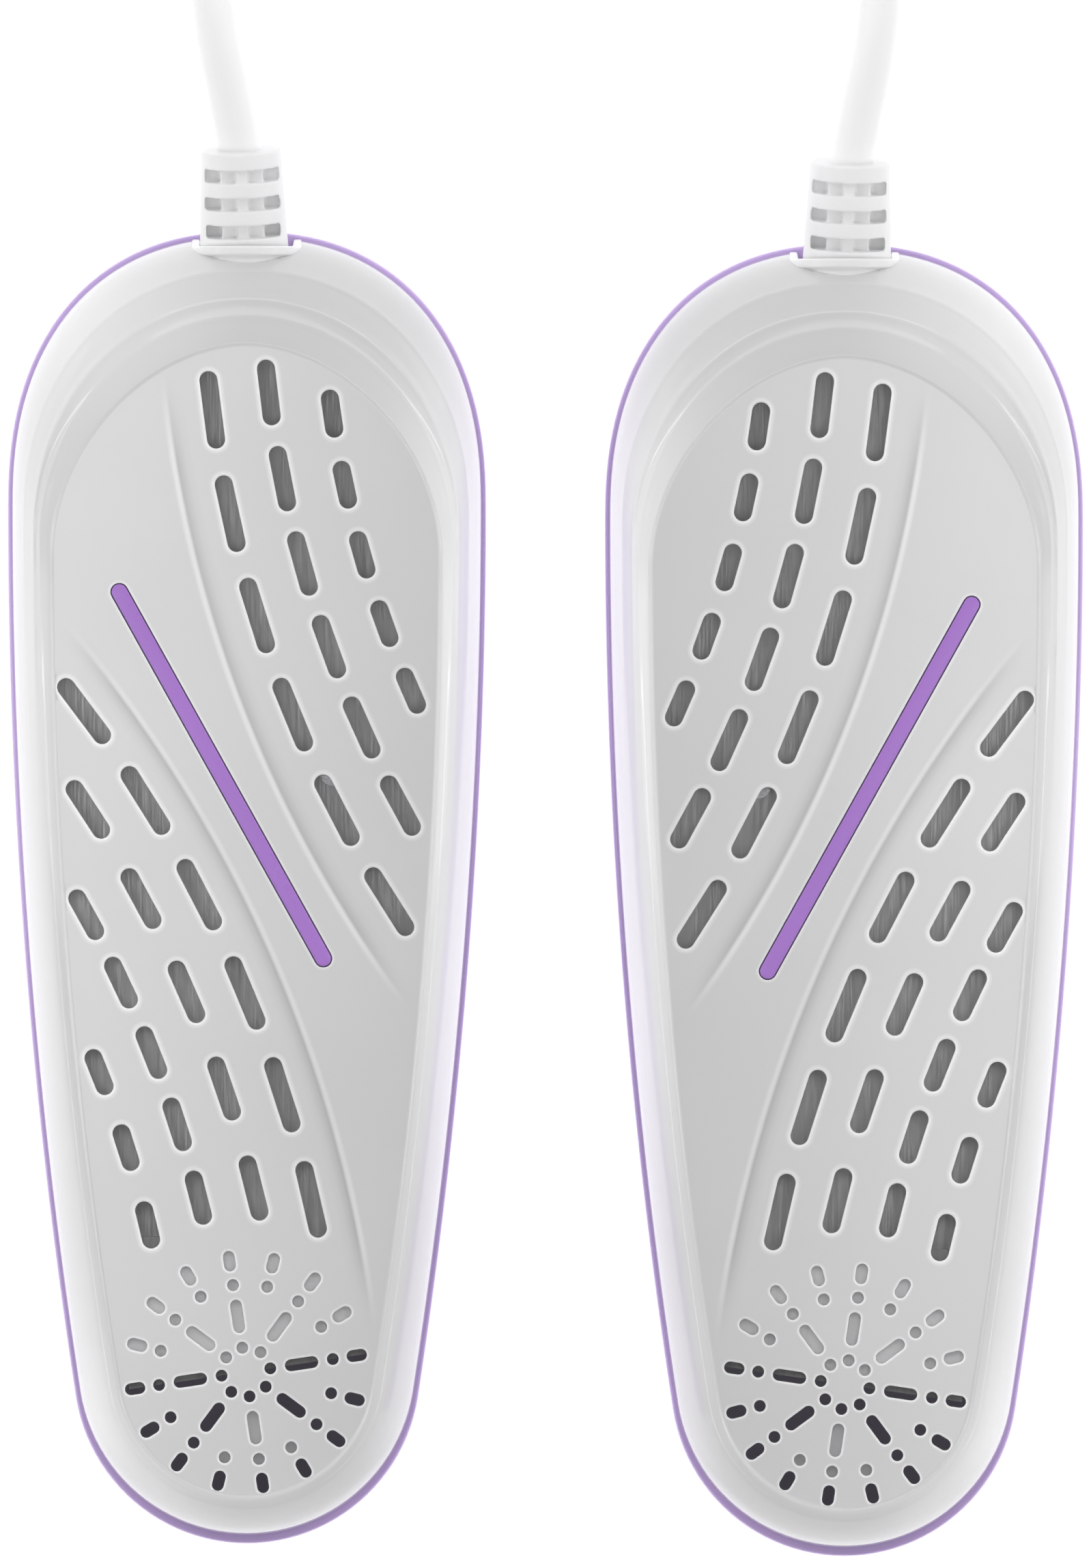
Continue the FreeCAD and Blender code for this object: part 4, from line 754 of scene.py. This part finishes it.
def make_upper_shell():
    solid = Solid()
    lip_z = PARTING - 1.6
    inner_rim = [solid.loop(raised(upper_ring(0, inward), z)) for inward, z in (
        (2.6, 17.0), (2.6, 15.8), (2.6, lip_z), (1.75, lip_z), (1.75, PARTING + SINK))]
    outer = [solid.loop(upper_ring(0, 0.12))]
    # The gloss rounding carries painted shade and light from shadow().
    outer += [solid.loop(upper_ring(turn), shadow(turn)) for turn in (
        0.6, 1.5, 4, 8, 13, 18, 23, 28, 33, 38, 42, 45, 46.5, 48, 49.5, 51, 54, 58, 61, 63, 64.5, 66, 67.5,
        69, 71, 73, 74.5, 76, 77.5, 79, 81.5, 84, 87, 90)]
    solid.chain(inner_rim + outer, 0)
    step = [outer[-1]] + [solid.loop(raised(upper_ring(90, inward), z)) for inward, z in (
        (0.10, TOP - 0.01), (0.20, TOP - 0.05), (0.28, TOP - 0.12), (0.36, TOP - 0.19), (0.46, TOP - 0.235),
        (0.60, PANEL_Z))]
    solid.chain(step, 0)
    hollow = [solid.loop(upper_ring(turn, wall, PARTING + 1, CEILING)) for turn, wall in (
        (90, 0.45), (70, 1.0), (50, 1.5), (30, 2.0), (12, 2.0))]
    solid.chain(hollow + [inner_rim[0]], 2)

    holes = vents() + grille()
    tops, lows = [], []
    for hole in holes:
        radius, steps, halo = (0.32, 5, 0.4) if hole[4] > GRILLE_HOLE else (0.22, 4, 0.14)
        top, low = rim(solid, hole, radius, panel_height, CEILING, (1, 1), steps, halo)
        tops.append(top)
        lows.append(low)
    strip_hole = (*STRIP[:3], STRIP[3] + 0.3, STRIP[4] + 0.3)
    top, _ = rim(solid, strip_hole, 0.12, panel_height, PANEL_Z - 1.6, (1, 2), 3, 0.3, closed=True)
    tops.append(top)

    inside = inside_ring(upper_ring(90, 1.1))
    every = holes + [strip_hole]

    def open_ground(x, y):
        for field, crease in ((HEEL_FIELD, HEEL_CREASE), (TOE_FIELD, TOE_CREASE)):
            past = crease[0] - math.hypot(x - field[0], y - field[1])
            if -1.6 < past < 2.6:
                return False
        return far_from(every, x, y, 1.4)

    lines = []
    for field, crease in ((HEEL_FIELD, HEEL_CREASE), (TOE_FIELD, TOE_CREASE)):
        lines += crease_lines(field, crease, lambda x, y: inside(x, y) and far_from(every, x, y, 1.0))
    spots = hex_spots(inside, open_ground, 1.7)
    solid.sheet(step[-1], tops, panel_height, 1, True, spots, lines)
    solid.sheet(hollow[0], lows, lambda x, y: CEILING, 2, False)
    return solid.object("shell_upper_left", [gloss, satin, inner])


def make_boss():
    """The screw boss that shows through the toe grille."""
    solid = Solid()
    section = stadium(1.3, -67.3, 0, 10.6, 8.0)
    loops = [solid.loop([(x, y, z) for x, y in section]) for z in (PARTING, CEILING)]
    solid.chain(loops)
    solid.fill(loops[1])
    solid.fill(loops[0], up=False)
    return solid.object("toe_boss_left", [inner])


def make_strip():
    """The accent strip, with a rounded edge and a slightly domed top."""
    solid = Solid()
    loops = []
    for grow, z in ((0, -1.5), (0, -0.2), (-0.02, -0.1), (-0.08, -0.03), (-0.18, 0.0), (-0.4, 0.015),
                    (-0.7, 0.02)):
        loops.append(solid.loop([(x, y, PANEL_Z + z) for x, y in stadium(*STRIP, grow)]))
    solid.chain(loops)
    solid.fill(loops[-1])
    solid.fill(loops[0], up=False)
    return solid.object("accent_left", [accent])


def make_passage():
    """The U-shaped opening for the strain relief, as a tool to cut with."""
    solid = Solid()
    arc = [(PASSAGE * math.cos(math.radians(a)), RELIEF_Z + PASSAGE * math.sin(math.radians(a)))
           for a in range(0, 181, 10)]
    profile = [(PASSAGE, 5.0)] + arc + [(-PASSAGE, 5.0)]
    back = solid.loop([(x, 68.0, z) for x, z in profile])
    front = solid.loop([(x, 95.0, z) for x, z in profile])
    solid.bridge(front, back)
    solid.fill(back, up=True)
    solid.fill(front, up=False)
    return solid.object("passage", [inner])


def make_collar():
    """U-shaped rim round the strain relief, a thin plate in front with a lower seat behind it."""
    solid = Solid()
    base, axis, reach = PARTING + SINK, RELIEF_Z, 6.75
    legs = [base + (axis - base) * i / 6 for i in range(6)]
    spine = [(1, 0, z) for z in legs]
    spine += [(math.cos(math.pi * i / 24), math.sin(math.pi * i / 24), axis) for i in range(25)]
    spine += [(-1, 0, z) for z in reversed(legs)]
    profile = [(5.75, -6.0), (5.75, -0.12), (5.8, -0.03), (5.9, 0), (6.45, 0), (6.62, -0.05), (6.72, -0.17),
               (reach, -0.35), (reach, -0.85), (6.71, -1.02), (6.6, -1.14), (6.45, -1.2), (6.3, -1.26),
               (6.2, -1.4), (6.15, -1.7), (6.15, -6.0)]
    loops = []
    for c, s, z in spine:
        beside = heel_surface(c * reach, z + s * reach)
        over = smooth(s * 3)
        front = max(78.25 * over + (beside + 0.2) * (1 - over), beside + 0.2)
        loops.append(solid.loop([(c * r, front + back, z + s * r) for r, back in profile]))
    for first, second in zip(loops, loops[1:]):
        solid.bridge(second, first)
    solid.fill(loops[0], up=True)
    solid.fill(loops[-1], up=False)
    return solid.object("collar_left", [collar_gloss])


upper = make_upper_shell()
cut_away(upper, make_passage())
both(upper, "shell_upper", "upper_shell")
both(make_boss(), "toe_boss", None)
both(make_collar(), "collar", None)
both(make_strip(), "accent", "accent_strip")


# ---------------------------------------------------------------------------------------------- lower shell

def lower_ring(turn, inward=0.0, floor=0.0):
    """The lower shell's outline at a turn of its rounding, 0 at its belly and 90 at the flat underside."""
    share = 1 - math.cos(math.radians(turn))
    ring = outline(6.5 * share + inward, 6.5 * share + inward, 9.5 * share + inward)
    z = BELLY_Z - (BELLY_Z - floor) * math.sin(math.radians(turn))
    return [(x, y, z) for x, y in ring]


def make_lower_shell():
    solid = Solid()
    floor = [solid.loop(lower_ring(turn)) for turn in (
        90, 87, 84, 80, 76, 72, 67, 62, 56, 50, 43, 36, 28, 20, 12, 5, 0)]
    top = [solid.loop(raised(outline(inward, inward, inward), z)) for inward, z in (
        (0.03, 13.2), (0.08, 13.7), (0.14, 13.88), (0.26, 13.98), (0.42, PARTING), (1.65, PARTING),
        (1.7, 13.9))]
    solid.chain(floor + top)
    hollow = [solid.loop(lower_ring(turn, WALL, WALL)) for turn in (0, 15, 30, 45, 60, 75, 90)]
    solid.chain([top[-1]] + hollow, 1)
    intakes = [(x, y, 90, 10.0, VENT_WIDTH) for x in (-14, -7, 0, 7, 14) for y in (-30, -15, 0, 15, 30)]
    screws = [(x, y, 0, 5.7, 5.7) for x, y in CASE_BOSSES]
    tops, lows = [], []
    for hole in intakes + screws:
        loops = []
        for away, z in ((0.3, 0.0), (0.14, 0.05), (0.04, 0.15), (0.0, 0.3)):
            loops.append(solid.loop([(x, y, z) for x, y in stadium(*hole, away)]))
        loops = [list(reversed(loop)) for loop in loops]
        solid.chain(loops)
        tops.append(list(reversed(loops[0])))
        if hole in screws:
            low = solid.loop([(x, y, 8.2) for x, y in stadium(*hole)])
            solid.bridge(loops[-1], list(reversed(low)))
            solid.fill(list(reversed(low)))
        else:
            low = solid.loop([(x, y, WALL) for x, y in stadium(*hole)])
            solid.bridge(loops[-1], list(reversed(low)), 1)
            lows.append(low)
    inside = inside_ring(lower_ring(90, 1.0))
    spots = hex_spots(inside, lambda x, y: far_from(intakes + screws, x, y, 1.2), 3.0)
    solid.sheet(floor[0], tops, lambda x, y: 0.0, 0, False, spots)
    solid.sheet(hollow[-1], lows, lambda x, y: WALL, 1, True)
    return solid.object("shell_lower_left", [violet, violet_inner])


both(make_lower_shell(), "shell_lower", "lower_shell")


# -------------------------------------------------------------------------------------------- floor, lights

def make_floor():
    """A pale floor, partly lit by its own emission, for a plain white ground."""
    size, z = 4.0, -0.08 * MM
    mesh = bpy.data.meshes.new("floor")
    corners = [(-size, -size, z), (size, -size, z), (size, size, z), (-size, size, z)]
    mesh.from_pydata(corners, [], [(0, 1, 2, 3)])
    material, tree, shader = nodes_of("floor")
    where = add(tree, "TexCoord").outputs["Object"]
    tree.links.new(ramp(tree, noise(tree, where, 3), (0.49, 0.49, 0.49), (0.51, 0.51, 0.51)),
                   shader.inputs["Base Color"])
    shader.inputs["Roughness"].default_value = 0.9
    shader.inputs["Specular IOR Level"].default_value = 0.1
    shader.inputs["Emission Color"].default_value = (1, 1, 1, 1)
    shader.inputs["Emission Strength"].default_value = 0.8
    mesh.materials.append(material)
    floor = bpy.data.objects.new("floor", mesh)
    bpy.context.collection.objects.link(floor)


make_floor()
for name, side in (("left_box", -1), ("right_box", 1)):
    softbox(name, (side * 0.175, 0.015, 0.17), (0.05, 0.38), 0.085, (side * 0.04, 0.015, 0.02))
softbox("lead_box", (0.0, 0.17, 0.10), (0.20, 0.05), 0.042, (0, 0.125, 0.02))


def make_sky():
    """Soft white surroundings in level bands, whose reflections follow the curve of the domes. They are
    brighter towards the heels and the sides."""
    world = bpy.data.worlds.new("world")
    world.use_nodes = True
    tree = world.node_tree
    heading = add(tree, "SeparateXYZ", Vector=add(tree, "TexCoord").outputs["Generated"])
    bands = tree.nodes.new("ShaderNodeValToRGB")
    tree.links.new(heading.outputs["Z"], bands.inputs["Fac"])
    stops = ((0.0, 0.45), (0.20, 0.45), (0.38, 0.38), (0.425, 0.30), (0.435, 3.6), (0.465, 3.6), (0.48, 1.0),
             (0.54, 0.30), (0.755, 0.30), (0.765, 1.4), (0.785, 1.4), (0.80, 0.36), (1.0, 0.40))
    elements = bands.color_ramp.elements
    while len(elements) < len(stops):
        elements.new(0.5)
    for element, (position, level) in zip(elements, stops):
        element.position, element.color = position, (level, level, level, 1)
    lengthwise = ramp(tree, heading.outputs["Y"], 0.66, 0.86, -1, 1)
    sideways = ramp(tree, calc(tree, "ABSOLUTE", heading.outputs["X"]), 1.0, 2.2, 0.3, 0.9)
    background = tree.nodes["Background"]
    tree.links.new(bands.outputs["Color"], background.inputs["Color"])
    tree.links.new(calc(tree, "MULTIPLY", lengthwise, sideways), background.inputs["Strength"])
    return world


bpy.context.scene.world = make_sky()
bpy.context.scene.view_settings.view_transform = "Standard"
